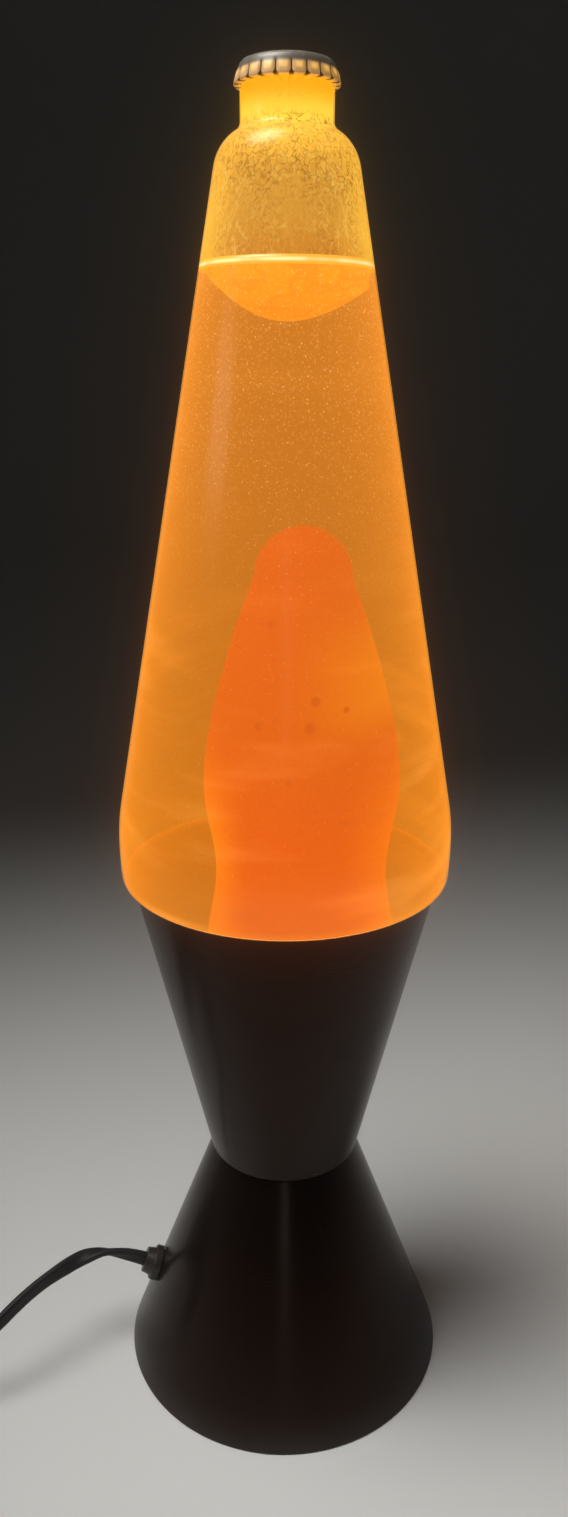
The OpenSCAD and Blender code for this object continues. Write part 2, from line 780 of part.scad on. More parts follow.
// Least distance between the surface points of a place on the coil and those a turn or more on
function coil_gap() =
    let (rings = [for (i = [0 : len(coil_line) - 1]) ring(coil_line, i, cord_w, cord_t, 6, 0)],
        last = len(rings) - 1)
    min([for (i = [0 : last], turn = [1 : 7], near = [-1 : 1])
        let (j = i + turn * turn_rings + near)
        if (j <= last)
            for (p = rings[i], q = rings[j])
                norm(p - q)]);

module cord_coil() {
    echo(least_coil_gap = coil_gap());
    color([0.05, 0.05, 0.05])
        tube(coil_line, cord_w, cord_t, 6);
}

tie_t = 0.5;
tie_w = 5;
tie_slack = 0.4;

module cord_tie() {
    in_r = coil_out_r - coil_turns * coil_step - cord_t - tie_t;
    out_r = coil_out_r + cord_t + tie_t;
    top = coil_low + coil_layer_h + cord_w / 2 + tie_slack + tie_t;
    bottom = lie_z;
    color([0.1, 0.1, 0.1])
        translate([coil_at[0] - out_r, coil_at[1] - tie_w / 2, bottom])
            difference() {
                cube([out_r - in_r, tie_w, top - bottom]);
                translate([tie_t, -cut_past, tie_t])
                    cube([out_r - in_r - 2 * tie_t, tie_w + 2 * cut_past, top - bottom - 2 * tie_t]);
            }
}

// Routes of the two leads from the cord's inner end to the terminal screws
lead_d = 2.2;
lead_y = socket_r + terminal_head_t + lead_d / 2 + seat_gap;
function lead_route(side) = [
    relief_point(-relief_in - seat_gap, side * 1.4), relief_point(-13, side * 1.5),
    [-31, side * 4, relief_z - 6], [-26, side * 10, relief_z - 1], [-20, side * 16, relief_z + 9],
    [-14, side * lead_y, terminal_z - 15], [-8, side * (lead_y + 1), terminal_z - 5],
    [-3, side * lead_y, terminal_z - 0.5]];

module lead_live() {
    color([0.1, 0.1, 0.1])
        tube(smooth(lead_route(-1), 2), lead_d, lead_d, 8);
}

module lead_neutral() {
    color([0.8, 0.8, 0.78])
        tube(smooth(lead_route(1), 2), lead_d, lead_d, 8);
}

// Switch

switch_end_w = 11;
switch_flat = 15;
switch_post_t = 1.6;
wheel_side_gap = 0.6;
part_z = lie_z + switch_h / 2;

// Plan of the switch's case, moved inwards by w
function switch_plan(w) =
    let (l = switch_l / 2 - w, m = switch_w / 2 - w, e = switch_end_w / 2 - w)
    [for (side = [1, -1])
        each [[-side * l, -side * e], [-side * switch_flat, -side * m], [side * switch_flat, -side * m],
            [side * l, -side * e]]];

module switch_half(from, to, top) {
    floor_t = switch_wall;
    low = top ? from - cut_past : from + floor_t;
    high = top ? to - floor_t : to + cut_past;
    translate([switch_at[0], switch_at[1], 0])
        difference() {
            translate([0, 0, from])
                linear_extrude(to - from)
                    polygon(switch_plan(0));
            difference() {
                translate([0, 0, low])
                    linear_extrude(high - low)
                        polygon(switch_plan(switch_wall));
                for (side = [-1, 1])
                    translate([side * switch_screw_x, 0, from - 2 * cut_past])
                        cylinder(r = screw_hole_r + switch_post_t, h = to - from + 4 * cut_past, $fn = 32);
                translate([0, 0, from - 2 * cut_past])
                    difference() {
                        cylinder(r = axle_r + switch_post_t, h = to - from + 4 * cut_past, $fn = 32);
                        translate([0, 0, part_z - wheel_t / 2 - seat_gap - from + 2 * cut_past])
                            cylinder(r = axle_r + 2 * switch_post_t, h = wheel_t + 2 * seat_gap, $fn = 32);
                    }
            }
            translate([0, 0, part_z - wheel_t / 2 - seat_gap])
                cylinder(r = wheel_r + wheel_side_gap, h = wheel_t + 2 * seat_gap, $fn = 64);
            translate([0, 0, part_z - axle_l / 2])
                cylinder(r = axle_r + fit_gap, h = axle_l, $fn = 32);
            for (side = [-1, 1])
                translate([side * switch_screw_x, 0, lie_z + switch_wall])
                    cylinder(r = screw_hole_r, h = switch_h, $fn = 24);
            for (side = [-1, 1])
                translate([side * switch_l / 2, 0, part_z])
                    rotate([0, 90, 0])
                        translate([0, 0, -switch_wall - cut_past])
                            rotate(90)
                                cord_slot(switch_wall + 2 * cut_past);
        }
}

switch_screw_x = 19;
axle_l = switch_h - 2 * switch_wall;

module switch_cover() {
    color([0.05, 0.05, 0.05])
        switch_half(part_z, lie_z + switch_h, true);
}

module switch_tray() {
    color([0.05, 0.05, 0.05])
        switch_half(lie_z, part_z, false);
}

module switch_wheel() {
    notch_r = 0.8;
    color([0.12, 0.12, 0.12])
        translate([switch_at[0], switch_at[1], part_z - wheel_t / 2])
            difference() {
                cylinder(r = wheel_r, h = wheel_t, $fn = 64);
                translate([0, 0, -cut_past])
                    cylinder(r = axle_r + run_gap, h = wheel_t + 2 * cut_past, $fn = 32);
                for (i = [0 : wheel_notches - 1])
                    rotate(i * 360 / wheel_notches)
                        translate([wheel_r + notch_r / 2, 0, -cut_past])
                            cylinder(r = notch_r, h = wheel_t + 2 * cut_past, $fn = 16);
            }
}

module switch_axle() {
    color([0.75, 0.75, 0.75])
        translate([switch_at[0], switch_at[1], part_z - axle_l / 2 + fit_gap])
            cylinder(r = axle_r, h = axle_l - 2 * fit_gap, $fn = 32);
}

module switch_screws() {
    color([0.75, 0.75, 0.75])
        for (side = [-1, 1])
            translate([switch_at[0] + side * switch_screw_x, switch_at[1], lie_z + switch_wall + seat_gap])
                cylinder(r = screw_hole_r - screw_gap, h = switch_h - switch_wall - 2 * seat_gap, $fn = 24);
}

module switch_contacts() {
    strip_y = 5.2;
    strip_l = 10;
    strip_t = 0.8;
    strip_h = part_z - wheel_t / 2 - lie_z - switch_wall - 2 * seat_gap;
    color([0.8, 0.6, 0.3])
        for (side = [-1, 1])
            translate([switch_at[0] - strip_l, switch_at[1] + side * strip_y - strip_t / 2,
                lie_z + switch_wall])
                cube([strip_l, strip_t, strip_h]);
}

// Plug

// Standard distance between the blades
blade_pitch = 12.7;
plug_neck_w = 9;
blade_w = 6.35;
blade_t = 1.5;
blade_in = 10;
blade_nose = 2;
plug_corner = 3;
plug_grip_x = 8;
plug_grip_w = 12;
plug_face_x = 17;

module plug_body() {
    half = plug_w / 2;
    side = concat(
        [[0, plug_neck_w / 2], [plug_grip_x, plug_grip_w / 2]],
        arc([plug_face_x, half - plug_corner], plug_corner, 125, 90, 4),
        arc([plug_l - plug_corner, half - plug_corner], plug_corner, 90, 0, 5));
    outline = concat(side, [for (i = [len(side) - 1 : -1 : 0]) [side[i][0], -side[i][1]]]);
    color([0.05, 0.05, 0.05])
        translate([plug_at[0], plug_at[1], plug_at[2] - plug_h / 2])
            difference() {
                linear_extrude(plug_h)
                    polygon(outline);
                for (side = [-1, 1])
                    translate([plug_l - blade_in, side * blade_pitch / 2 - blade_t / 2 - fit_gap,
                        (plug_h - blade_w) / 2 - fit_gap])
                        cube([blade_in + cut_past, blade_t + 2 * fit_gap, blade_w + 2 * fit_gap]);
            }
}

module plug_blades() {
    color([0.8, 0.72, 0.5])
        for (side = [-1, 1])
            translate([plug_at[0] + plug_l - blade_in + fit_gap, plug_at[1] + side * blade_pitch / 2,
                plug_at[2]])
                rotate([90, 0, 0])
                    translate([0, 0, -blade_t / 2])
                        linear_extrude(blade_t)
                            polygon([[0, -blade_w / 2], [blade_in + blade_l - blade_nose, -blade_w / 2],
                                [blade_in + blade_l, blade_nose - blade_w / 2],
                                [blade_in + blade_l, blade_w / 2 - blade_nose],
                                [blade_in + blade_l - blade_nose, blade_w / 2], [0, blade_w / 2]]);
}

glass_bottle();
crown_cap();
cap_liner();
liquid_fill();
wax_column();
heating_coil();
wax_float();
base_cup();
base_foot();
waist_rivets();
bottom_cover();
socket_bracket();
socket_body();
socket_shell();
socket_contact();
socket_screws();
terminal_screws();
bulb_glass();
bulb_base();
bulb_insulator();
bulb_tip();
bulb_stem();
bulb_filament();
strain_relief();
lead_live();
lead_neutral();
cord_run();
cord_coil();
cord_tie();
switch_cover();
switch_tray();
switch_wheel();
switch_axle();
switch_screws();
switch_contacts();
plug_body();
plug_blades();
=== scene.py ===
"""Dresses the liquid motion lamp: a glowing wax bottle, a black hourglass base and its flat cord."""

from __future__ import annotations

import json
import logging
import math
from dataclasses import dataclass, field
from enum import Enum
from typing import Any, Callable, Sequence

import bmesh
import bpy
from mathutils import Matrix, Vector

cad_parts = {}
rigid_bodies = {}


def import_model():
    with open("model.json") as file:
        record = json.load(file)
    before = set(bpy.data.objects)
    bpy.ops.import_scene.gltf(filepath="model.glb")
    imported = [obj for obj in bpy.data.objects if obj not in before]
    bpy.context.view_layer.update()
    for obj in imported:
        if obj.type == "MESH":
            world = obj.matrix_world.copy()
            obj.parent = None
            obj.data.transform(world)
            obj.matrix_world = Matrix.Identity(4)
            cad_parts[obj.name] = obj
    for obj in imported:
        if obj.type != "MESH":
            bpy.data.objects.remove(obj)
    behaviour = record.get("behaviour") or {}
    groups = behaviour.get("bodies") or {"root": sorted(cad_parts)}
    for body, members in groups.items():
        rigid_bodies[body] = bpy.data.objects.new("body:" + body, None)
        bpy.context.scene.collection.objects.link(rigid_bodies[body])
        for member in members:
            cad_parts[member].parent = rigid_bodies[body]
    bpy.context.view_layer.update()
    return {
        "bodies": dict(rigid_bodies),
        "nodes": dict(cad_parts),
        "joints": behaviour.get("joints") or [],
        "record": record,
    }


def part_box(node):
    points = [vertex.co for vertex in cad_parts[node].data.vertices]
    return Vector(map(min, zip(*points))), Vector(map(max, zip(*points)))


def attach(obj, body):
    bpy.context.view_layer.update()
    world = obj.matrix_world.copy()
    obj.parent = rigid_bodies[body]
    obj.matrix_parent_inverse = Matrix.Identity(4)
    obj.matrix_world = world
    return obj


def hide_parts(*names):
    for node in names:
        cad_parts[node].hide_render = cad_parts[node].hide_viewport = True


log = logging.getLogger("lamp")

MM = 0.001

Colour = tuple[float, float, float]
Point = tuple[float, float, float]
Outline = list[tuple[float, float]]
Pairs = tuple[tuple[float, float], ...]


class Kind(Enum):
    """Node types that the finishes use."""

    MATHS = "ShaderNodeMath"
    MIX = "ShaderNodeMix"
    MIX_SHADER = "ShaderNodeMixShader"
    NOISE = "ShaderNodeTexNoise"
    CELLS = "ShaderNodeTexVoronoi"
    WAVE = "ShaderNodeTexWave"
    RANGE = "ShaderNodeMapRange"
    SCALE = "ShaderNodeVectorMath"
    PLACE = "ShaderNodeTexCoord"
    SPLIT = "ShaderNodeSeparateXYZ"
    BUMP = "ShaderNodeBump"
    FACING = "ShaderNodeLayerWeight"
    CLEAR = "ShaderNodeBsdfTransparent"
    BODY = "ShaderNodeBsdfPrincipled"


class Reach(Enum):
    """Which pieces a studio light falls on."""

    ONLY = "INCLUDE"
    NOT = "EXCLUDE"


class Wire:
    """An output of a shader node, on which arithmetic adds Math nodes."""

    def __init__(self, shade: Shade, socket: bpy.types.NodeSocket) -> None:
        """Keeps the socket and the material it belongs to."""
        self.shade = shade
        self.socket = socket

    def maths(self, operation: str, first: Any, second: Any = 0.0) -> Wire:
        """Adds a Math node.

        Args:
            operation: The Math node's operation.
            first: A wire or number for the first input.
            second: A wire or number for the second input.

        Returns:
            The node's result.
        """
        return self.shade.node(Kind.MATHS, {"operation": operation}, {0: first, 1: second})[0]

    def __add__(self, other: Any) -> Wire:
        """Sum."""
        return self.maths("ADD", self, other)

    def __radd__(self, other: Any) -> Wire:
        """Sum with a number on the left."""
        return self.maths("ADD", other, self)

    def __sub__(self, other: Any) -> Wire:
        """Difference."""
        return self.maths("SUBTRACT", self, other)

    def __rsub__(self, other: Any) -> Wire:
        """Difference with a number on the left."""
        return self.maths("SUBTRACT", other, self)

    def __mul__(self, other: Any) -> Wire:
        """Product."""
        return self.maths("MULTIPLY", self, other)

    def __rmul__(self, other: Any) -> Wire:
        """Product with a number on the left."""
        return self.maths("MULTIPLY", other, self)

    def __truediv__(self, other: Any) -> Wire:
        """Quotient."""
        return self.maths("DIVIDE", self, other)

    def __rtruediv__(self, other: Any) -> Wire:
        """Quotient with a number on the left."""
        return self.maths("DIVIDE", other, self)

    def __pow__(self, other: Any) -> Wire:
        """Power."""
        return self.maths("POWER", self, other)

    def __rpow__(self, other: Any) -> Wire:
        """Power with a number on the left."""
        return self.maths("POWER", other, self)

    def __abs__(self) -> Wire:
        """Size without its sign."""
        return self.maths("ABSOLUTE", self)

    def between(self, low: float, high: float) -> Wire:
        """Smooth step.

        Args:
            low: The value where the step starts, at 0.
            high: The value where it ends, at 1.

        Returns:
            A wire from 0 to 1.
        """
        settings = {"interpolation_type": "SMOOTHSTEP"}
        inputs = {"Value": self, "From Min": low, "From Max": high}
        return self.shade.node(Kind.RANGE, settings, inputs)[0]


class Shade:
    """A material that is built node by node."""

    def __init__(self, name: str) -> None:
        """Starts an empty material.

        Args:
            name: The material's name.
        """
        self.material = bpy.data.materials.new(name)
        self.material.use_nodes = True
        self.tree = self.material.node_tree
        self.tree.nodes.clear()
        self.end = self.tree.nodes.new("ShaderNodeOutputMaterial")

    def node(self, kind: Kind, settings: dict[str, Any] | None = None,
             inputs: dict[Any, Any] | None = None) -> list[Wire]:
        """Adds any node.

        Args:
            kind: The node's type.
            settings: Properties of the node, set first.
            inputs: Values or wires by socket name or number.

        Returns:
            The node's outputs as wires.
        """
        made = self.tree.nodes.new(kind.value)
        for name, value in (settings or {}).items():
            setattr(made, name, value)
        for name, value in (inputs or {}).items():
            if isinstance(value, Wire):
                self.tree.links.new(value.socket, made.inputs[name])
            else:
                made.inputs[name].default_value = value
        return [Wire(self, socket) for socket in made.outputs]

    def place(self) -> Wire:
        """Where a point is in the lamp's own frame, in metres."""
        return self.node(Kind.PLACE)[3]

    def axes(self) -> list[Wire]:
        """The x, y and z of a point in the lamp's own frame."""
        return self.node(Kind.SPLIT, None, {0: self.place()})

    def noise(self, scale: float, detail: float = 2.0, stretch: Point = (1, 1, 1)) -> Wire:
        """Cloudy noise over the lamp's frame.

        Args:
            scale: Cells per metre.
            detail: Octaves.
            stretch: Factors on x, y and z.

        Returns:
            A wire from 0 to 1.
        """
        spot = self.node(Kind.SCALE, {"operation": "MULTIPLY"}, {0: self.place(), 1: stretch})[0]
        return self.node(Kind.NOISE, None, {"Vector": spot, "Scale": scale, "Detail": detail})[0]

    def cells(self, scale: float) -> Wire:
        """Distance to the nearest of scattered points, in cells."""
        return self.node(Kind.CELLS, None, {"Vector": self.place(), "Scale": scale})[0]

    def facing(self) -> Wire:
        """How far the surface turns away from the view, from 0 to 1."""
        return self.node(Kind.FACING, None, {"Blend": 0.5})[1]

    def blend(self, first: Any, second: Any, share: Wire) -> Wire:
        """Mixes two colours.

        Args:
            first: Colour or wire where share is 0.
            second: Colour or wire where share is 1.
            share: The mix.

        Returns:
            The mixed colour.
        """
        inputs = {0: share, 6: with_alpha(first), 7: with_alpha(second)}
        return self.node(Kind.MIX, {"data_type": "RGBA"}, inputs)[2]

    def layers(self, first: Any, *layers: tuple[Any, Wire]) -> Wire:
        """Lays colours one over the other.

        Args:
            first: The lowest colour.
            layers: Each further colour with the share of it that shows.

        Returns:
            The mixed colour.
        """
        for colour, share in layers:
            first = self.blend(first, colour, share)
        return first

    def bump(self, height: Wire, depth: float, strength: float = 1.0) -> Wire:
        """A bumped normal.

        Args:
            height: Relief from 0 to 1.
            depth: Depth of the relief in metres.
            strength: Share of the effect.

        Returns:
            The normal.
        """
        return self.node(Kind.BUMP, None, {"Strength": strength, "Distance": depth, "Height": height})[0]

    def body(self, **inputs: Any) -> Wire:
        """A Principled shader, with inputs named in lower case and underscores."""
        named = {SOCKETS[name]: value for name, value in inputs.items()}
        return self.node(Kind.BODY, None, {name: with_alpha(v) for name, v in named.items()})[0]

    def see_through(self, tint: Colour, solid: Wire, share: Any) -> Wire:
        """A surface that tints what lies behind it.

        Args:
            tint: Colour of the clear part.
            solid: Shader of the solid part.
            share: How much of the solid part shows.

        Returns:
            The mixed shader.
        """
        clear = self.node(Kind.CLEAR, None, {"Color": with_alpha(tint)})[0]
        return self.node(Kind.MIX_SHADER, None, {0: share, 1: clear, 2: solid})[0]

    def done(self, shader: Wire) -> bpy.types.Material:
        """Links the shader to the output and hands over the material."""
        self.tree.links.new(shader.socket, self.end.inputs["Surface"])
        return self.material


SOCKETS = {
    "colour": "Base Color", "roughness": "Roughness", "metallic": "Metallic", "glow": "Emission Color",
    "glow_strength": "Emission Strength", "normal": "Normal", "shine": "Specular IOR Level",
    "shine_tint": "Specular Tint",
}


def with_alpha(value: Any) -> Any:
    """A colour of three numbers gets an alpha of 1, and anything else stays."""
    return (*value, 1.0) if isinstance(value, tuple) and len(value) == 3 else value


# Finishes


@dataclass(frozen=True)
class SpunPaint:
    """Satin black paint on spun sheet."""

    name: str = "satin_black_paint"
    colour: Colour = (0.0055, 0.0028, 0.002)
    dust: Colour = (0.06, 0.055, 0.05)
    # Warm tint of the paint's reflections, which stands in for the amber light of the bottle on the base.
    warm: Colour = (1.0, 0.5, 0.36)
    roughness: float = 0.23
    shine: float = 0.18
    grain: float = 2200.0
    ring_scale: float = 260.0
    speck_scale: float = 520.0
    dust_h: float = 12 * MM
    peel_depth: float = 0.04 * MM

    def make(self) -> bpy.types.Material:
        """Builds the paint with its orange peel, faint spinning rings and dust.

        Returns:
            The material.
        """
        shade = Shade(self.name)
        z = shade.axes()[2]
        peel = shade.noise(self.grain, 3.0)
        clouds = shade.noise(38.0, 4.0)
        rings = shade.node(Kind.WAVE, {"bands_direction": "Z"}, {
            "Vector": shade.place(), "Scale": self.ring_scale, "Distortion": 0.6, "Detail": 2.0})[1]
        specks = 1 - shade.cells(self.speck_scale).between(0.03, 0.09)
        table_dust = (1 - z.between(0.0, self.dust_h)) * clouds
        dusty = specks * 0.3 + table_dust * 0.35
        rough = self.roughness + (clouds - 0.5) * 0.12 + rings * 0.03
        relief = peel * 0.8 + rings * 0.2
        return shade.done(shade.body(
            colour=shade.blend(self.colour, self.dust, dusty), roughness=rough, shine=self.shine,
            shine_tint=self.warm, normal=shade.bump(relief, self.peel_depth, 0.5)))


@dataclass(frozen=True)
class BottleGlass:
    """Clear glass with a painted amber glow, brighter at its edges, that stands in for the lit liquid seen
    through it.
    """

    liquid_z: float
    mouth_z: float
    name: str = "bottle_glass"
    tint: Colour = (1.0, 0.97, 0.9)
    low: Colour = (0.54, 0.2, 0.008)
    air: Colour = (0.84, 0.44, 0.05)
    neck: Colour = (0.98, 0.52, 0.02)
    rim: Colour = (0.8, 0.34, 0.08)
    gloss_colour: Colour = (0.9, 0.78, 0.58)
    edge_colour: Colour = (0.12, 0.05, 0.01)
    gloss: float = 0.035
    edge_share: float = 0.62
    line_soft: float = 2 * MM

    def make(self) -> bpy.types.Material:
        """Builds clear glass with a mirror gloss, a painted glow that changes with height and thin painted
        lit edges.

        Returns:
            The material.
        """
        shade = Shade(self.name)
        z = shade.axes()[2]
        facing = shade.facing()
        lit = facing.between(0.66, 0.97)
        # Painted light: a glow that changes with height, and a painted lighter rim where the glass turns away
        # from the view.
        glow = shade.layers(
            self.low,
            (self.air, z.between(self.liquid_z - self.line_soft, self.liquid_z + self.line_soft)),
            (self.neck, z.between(self.mouth_z - 20 * MM, self.mouth_z - 10 * MM)),
            (self.rim, facing.between(0.9, 0.99)))
        ripple = shade.noise(60.0, 1.0, (1, 1, 0.3))
        solid = shade.body(
            colour=shade.blend(self.gloss_colour, self.edge_colour, lit), metallic=1 - lit, roughness=0.2,
            glow=glow, glow_strength=1.0, normal=shade.bump(ripple, 0.4 * MM, 0.2))
        share = self.gloss + lit * (self.edge_share - self.gloss)
        return shade.done(shade.see_through(self.tint, solid, share))


@dataclass(frozen=True)
class HeelMirror:
    """The underside of the heel, which mirrors the wax and the liquid above it."""

    name: str = "heel_mirror"
    colour: Colour = (0.98, 0.82, 0.56)

    def make(self) -> bpy.types.Material:
        """Builds a clear mirror with a faint ripple.

        Returns:
            The material.
        """
        shade = Shade(self.name)
        ripple = shade.noise(120.0, 2.0)
        return shade.done(shade.body(
            colour=self.colour, metallic=1.0, roughness=0.04 + ripple * 0.06,
            normal=shade.bump(ripple, 0.2 * MM, 0.15)))


@dataclass(frozen=True)
class HeelGlow:
    """The light that leaves the heel downwards, past the rim of the cup."""

    name: str = "heel_glow"
    glow: Colour = (1.0, 0.3, 0.03)
    strength: float = 6.0
    colour: Colour = (0.2, 0.08, 0.02)
    dimmer: float = 0.8

    def make(self) -> bpy.types.Material:
        """Builds a mottled amber glow.

        Returns:
            The material.
        """
        shade = Shade(self.name)
        clouds = shade.noise(70.0, 3.0)
        return shade.done(shade.body(
            colour=self.colour, roughness=0.3, glow_strength=self.strength,
            glow=shade.blend(self.glow, tuple(c * self.dimmer for c in self.glow), clouds)))


@dataclass(frozen=True)
class Condensation:
    """Fine droplets on the inside of the glass above the liquid."""

    low_z: float
    neck_z: float
    name: str = "condensation"
    low: Colour = (0.62, 0.24, 0.03)
    middle: Colour = (0.7, 0.36, 0.055)
    shoulder: Colour = (0.9, 0.5, 0.055)
    neck: Colour = (1.0, 0.76, 0.08)
    top: Colour = (0.98, 0.42, 0.004)
    shadow: Colour = (0.16, 0.075, 0.012)
    sparkle: Colour = (1.0, 0.72, 0.16)
    film: Colour = (0.3, 0.16, 0.04)
    tint: Colour = (1.0, 0.86, 0.55)
    neck_soft: float = 8 * MM

    def make(self) -> bpy.types.Material:
        """Builds the droplets' mottling, which fades out in the neck, over a painted glow that changes with
        height, with painted glints and painted shade in the droplets' creases.

        Returns:
            The material.
        """
        shade = Shade(self.name)
        z = shade.axes()[2]
        span = self.neck_z - self.low_z
        to_middle = z.between(self.low_z, self.low_z + 0.4 * span)
        to_shoulder = z.between(self.low_z + 0.5 * span, self.neck_z)
        to_neck = z.between(self.neck_z - self.neck_soft, self.neck_z - 1 * MM)
        to_top = z.between(self.neck_z, self.neck_z + self.neck_soft)
        wet = 1 - z.between(self.neck_z - 2 * MM, self.neck_z + 3 * MM)
        upper = z.between(self.neck_z - 24 * MM, self.neck_z - 12 * MM)
        facing = shade.facing()
        # Painted lighter edge where the film turns away from the view.
        edge = facing.between(0.1, 0.7) * wet
        beads = shade.noise(640.0, 1.5, (1, 1, 0.75))
        trickles = shade.noise(470.0, 1.0, (1, 1, 0.55))
        runs = shade.noise(150.0, 3.0, (1, 1, 0.35)).between(0.3, 0.7)
        creases = 1 - abs(beads - 0.5).between(0.01, 0.06)
        dark = creases * wet * (0.15 + runs * 0.42 + upper * 0.35)
        patches = shade.noise(75.0, 2.0).between(0.36, 0.62)
        squiggles = 1 - abs(trickles - 0.52).between(0.01, 0.06)
        light = squiggles * wet * (0.12 + patches * 0.5) * (1 - runs * 0.35)
        # Painted light: the glow by height, the lighter edge, painted glints along the squiggles and painted
        # shade in the creases.
        glow = shade.layers(
            self.low, (self.middle, to_middle), (self.shoulder, to_shoulder), (self.neck, to_neck),
            (self.top, to_top), (self.shoulder, edge), (self.sparkle, light), (self.shadow, dark))
        solid = shade.body(colour=self.film, roughness=0.4, glow=glow, glow_strength=1.0, shine=0.1)
        share = 0.48 + to_neck * 0.24 + dark * 0.15 + edge * 0.16
        return shade.done(shade.see_through(self.tint, solid, share))


@dataclass(frozen=True)
class AmberLiquid:
    """Clear amber liquid, lit from below, with fine cloud."""

    liquid_z: float
    heel_z: float
    name: str = "amber_liquid"
    tint: Colour = (1.0, 0.7, 0.3)
    glow_low: Colour = (1.2, 0.42, 0.034)
    glow_high: Colour = (1.15, 0.43, 0.055)
    cloud: Colour = (1.75, 0.68, 0.1)
    streak: Colour = (1.05, 0.4, 0.05)
    grain_glow: Colour = (1.6, 0.86, 0.28)
    speck_glow: Colour = (1.9, 1.1, 0.4)
    depth: Colour = (0.1, 0.04, 0.01)
    speck_scale: float = 560.0
    grain_scale: float = 950.0

    def make(self) -> bpy.types.Material:
        """Builds the liquid with streaks near the heel and drifting specks.

        Returns:
            The material.
        """
        shade = Shade(self.name)
        z = shade.axes()[2]
        facing = shade.facing()
        low = 1 - z.between(self.heel_z + 20 * MM, self.liquid_z - 40 * MM)
        wisps = shade.noise(17.0, 5.0, (1, 1, 5.0))
        bright = wisps.between(0.5, 0.72)
        dim = 1 - wisps.between(0.3, 0.46)
        near_heel = 1 - z.between(self.heel_z + 45 * MM, self.heel_z + 110 * MM)
        upper = z.between(self.liquid_z - 100 * MM, self.liquid_z - 30 * MM)
        specks = (1 - shade.cells(self.speck_scale).between(0.06, 0.16)) * (0.3 + upper * 0.5)
        grain = (1 - shade.cells(self.grain_scale).between(0.08, 0.4)) * (0.1 + upper * 0.5)
        # Painted glow of the bulb's light in the liquid, redder low down, with brighter clouds and darker
        # streaks near the heel and bright specks higher up.
        glow = shade.layers(
            self.glow_high, (self.glow_low, low), (self.cloud, bright * (0.15 + near_heel * 0.5)),
            (self.streak, dim * (0.2 + near_heel * 0.5)), (self.grain_glow, grain * 0.75),
            (self.speck_glow, specks))
        solid = shade.body(colour=self.depth, roughness=0.3, glow=glow, glow_strength=1.0, shine=0.0)
        milky = 1 - z.between(self.heel_z, self.heel_z + 30 * MM)
        share = 0.23 + facing ** 2.0 * 0.28 + specks * 0.16 + grain * 0.08 + milky * 0.05
        return shade.done(shade.see_through(self.tint, solid, share))


@dataclass(frozen=True)
class Meniscus:
    """The bright edge of the liquid against the glass."""

    low_z: float
    high_z: float
    name: str = "meniscus"
    colour: Colour = (0.88, 0.4, 0.03)
    bright: Colour = (1.15, 0.92, 0.42)
    film: Colour = (0.4, 0.2, 0.05)

    def make(self) -> bpy.types.Material:
        """Builds a pale lit band with softer and brighter stretches.

        Returns:
            The material.
        """
        shade = Shade(self.name)
        patches = shade.noise(90.0, 2.0, (1, 1, 0.1)).between(0.3, 0.62)
        up = (shade.axes()[2] - self.low_z) / (self.high_z - self.low_z)
        core = up.between(0.15, 0.5) * (1 - up.between(0.5, 0.85))
        glow = shade.blend(self.colour, self.bright, core * (0.4 + patches * 0.6))
        return shade.done(shade.body(colour=self.film, roughness=0.2, glow=glow, glow_strength=1.0))


@dataclass(frozen=True)
class GlowWax:
    """Warm wax that the bulb lights through."""

    low_z: float
    high_z: float
    centre_x: float = 0.0
    half_w: float = 1.0
    name: str = "glowing_wax"
    lit_heart: Colour = (0.54, 0.008, 0.0)
    body: Colour = (0.43, 0.022, 0.0)
    top: Colour = (0.47, 0.04, 0.0)
    rim: Colour = (0.8, 0.23, 0.0)
    lit_flank: Colour = (0.62, 0.23, 0.0)
    pit: Colour = (0.35, 0.0, 0.0)
    swirl: float = 0.0
    pits: tuple[Point, ...] = ()
    skin: Colour = (0.16, 0.02, 0.002)
    skin_depth: float = 0.8 * MM

    def make(self) -> bpy.types.Material:
        """Builds the wax's painted glow, deep red low in its middle, yellow at its lower edges, lighter
        partway up on its right, with small dark pits.

        Returns:
            The material.
        """
        shade = Shade(self.name)
        x, _, z = shade.axes()
        span = self.high_z - self.low_z
        lift = z.between(self.low_z, self.high_z)
        lower = 1 - z.between(self.low_z + 0.1 * span, self.low_z + 0.5 * span)
        clouds = shade.noise(30.0, 4.0)
        side = (x - self.centre_x) / self.half_w
        left = 1 - side.between(-0.98, -0.5)
        right = side.between(0.3, 1.0)
        high = z.between(self.low_z + 0.42 * span, self.low_z + 0.56 * span)
        high = high * (1 - z.between(self.low_z + 0.64 * span, self.low_z + 0.86 * span))
        # Painted light: the bulb's glow through the wax, lit most at the lower left and right edges and
        # partway up on the right.
        glow = shade.layers(
            self.body, (self.top, lift * clouds * 1.6), (self.lit_heart, lower * (0.35 + clouds * 0.7)),
            (self.lit_flank, high * side.between(-0.3, 0.9) * 0.7),
            (self.rim, lower * (left * 0.9 + right * 0.5)))
        if self.swirl:
            folds = 1 - abs(shade.noise(95.0, 1.0, (1, 1, 1.8)) - 0.5).between(0.0, 0.1)
            glow = shade.blend(glow, self.pit, folds * self.swirl)
        for spot_x, spot_z, size in self.pits:
            dx = x - spot_x
            dz = z - spot_z
            away = dx * dx + dz * dz
            area = size * size
            glow = shade.blend(glow, self.pit, (1 - away.between(0.1 * area, area)) * 0.9)
        return shade.done(shade.body(
            colour=self.skin, roughness=0.42, glow=glow, glow_strength=1.0, shine=0.1,
            normal=shade.bump(clouds, self.skin_depth, 0.4)))


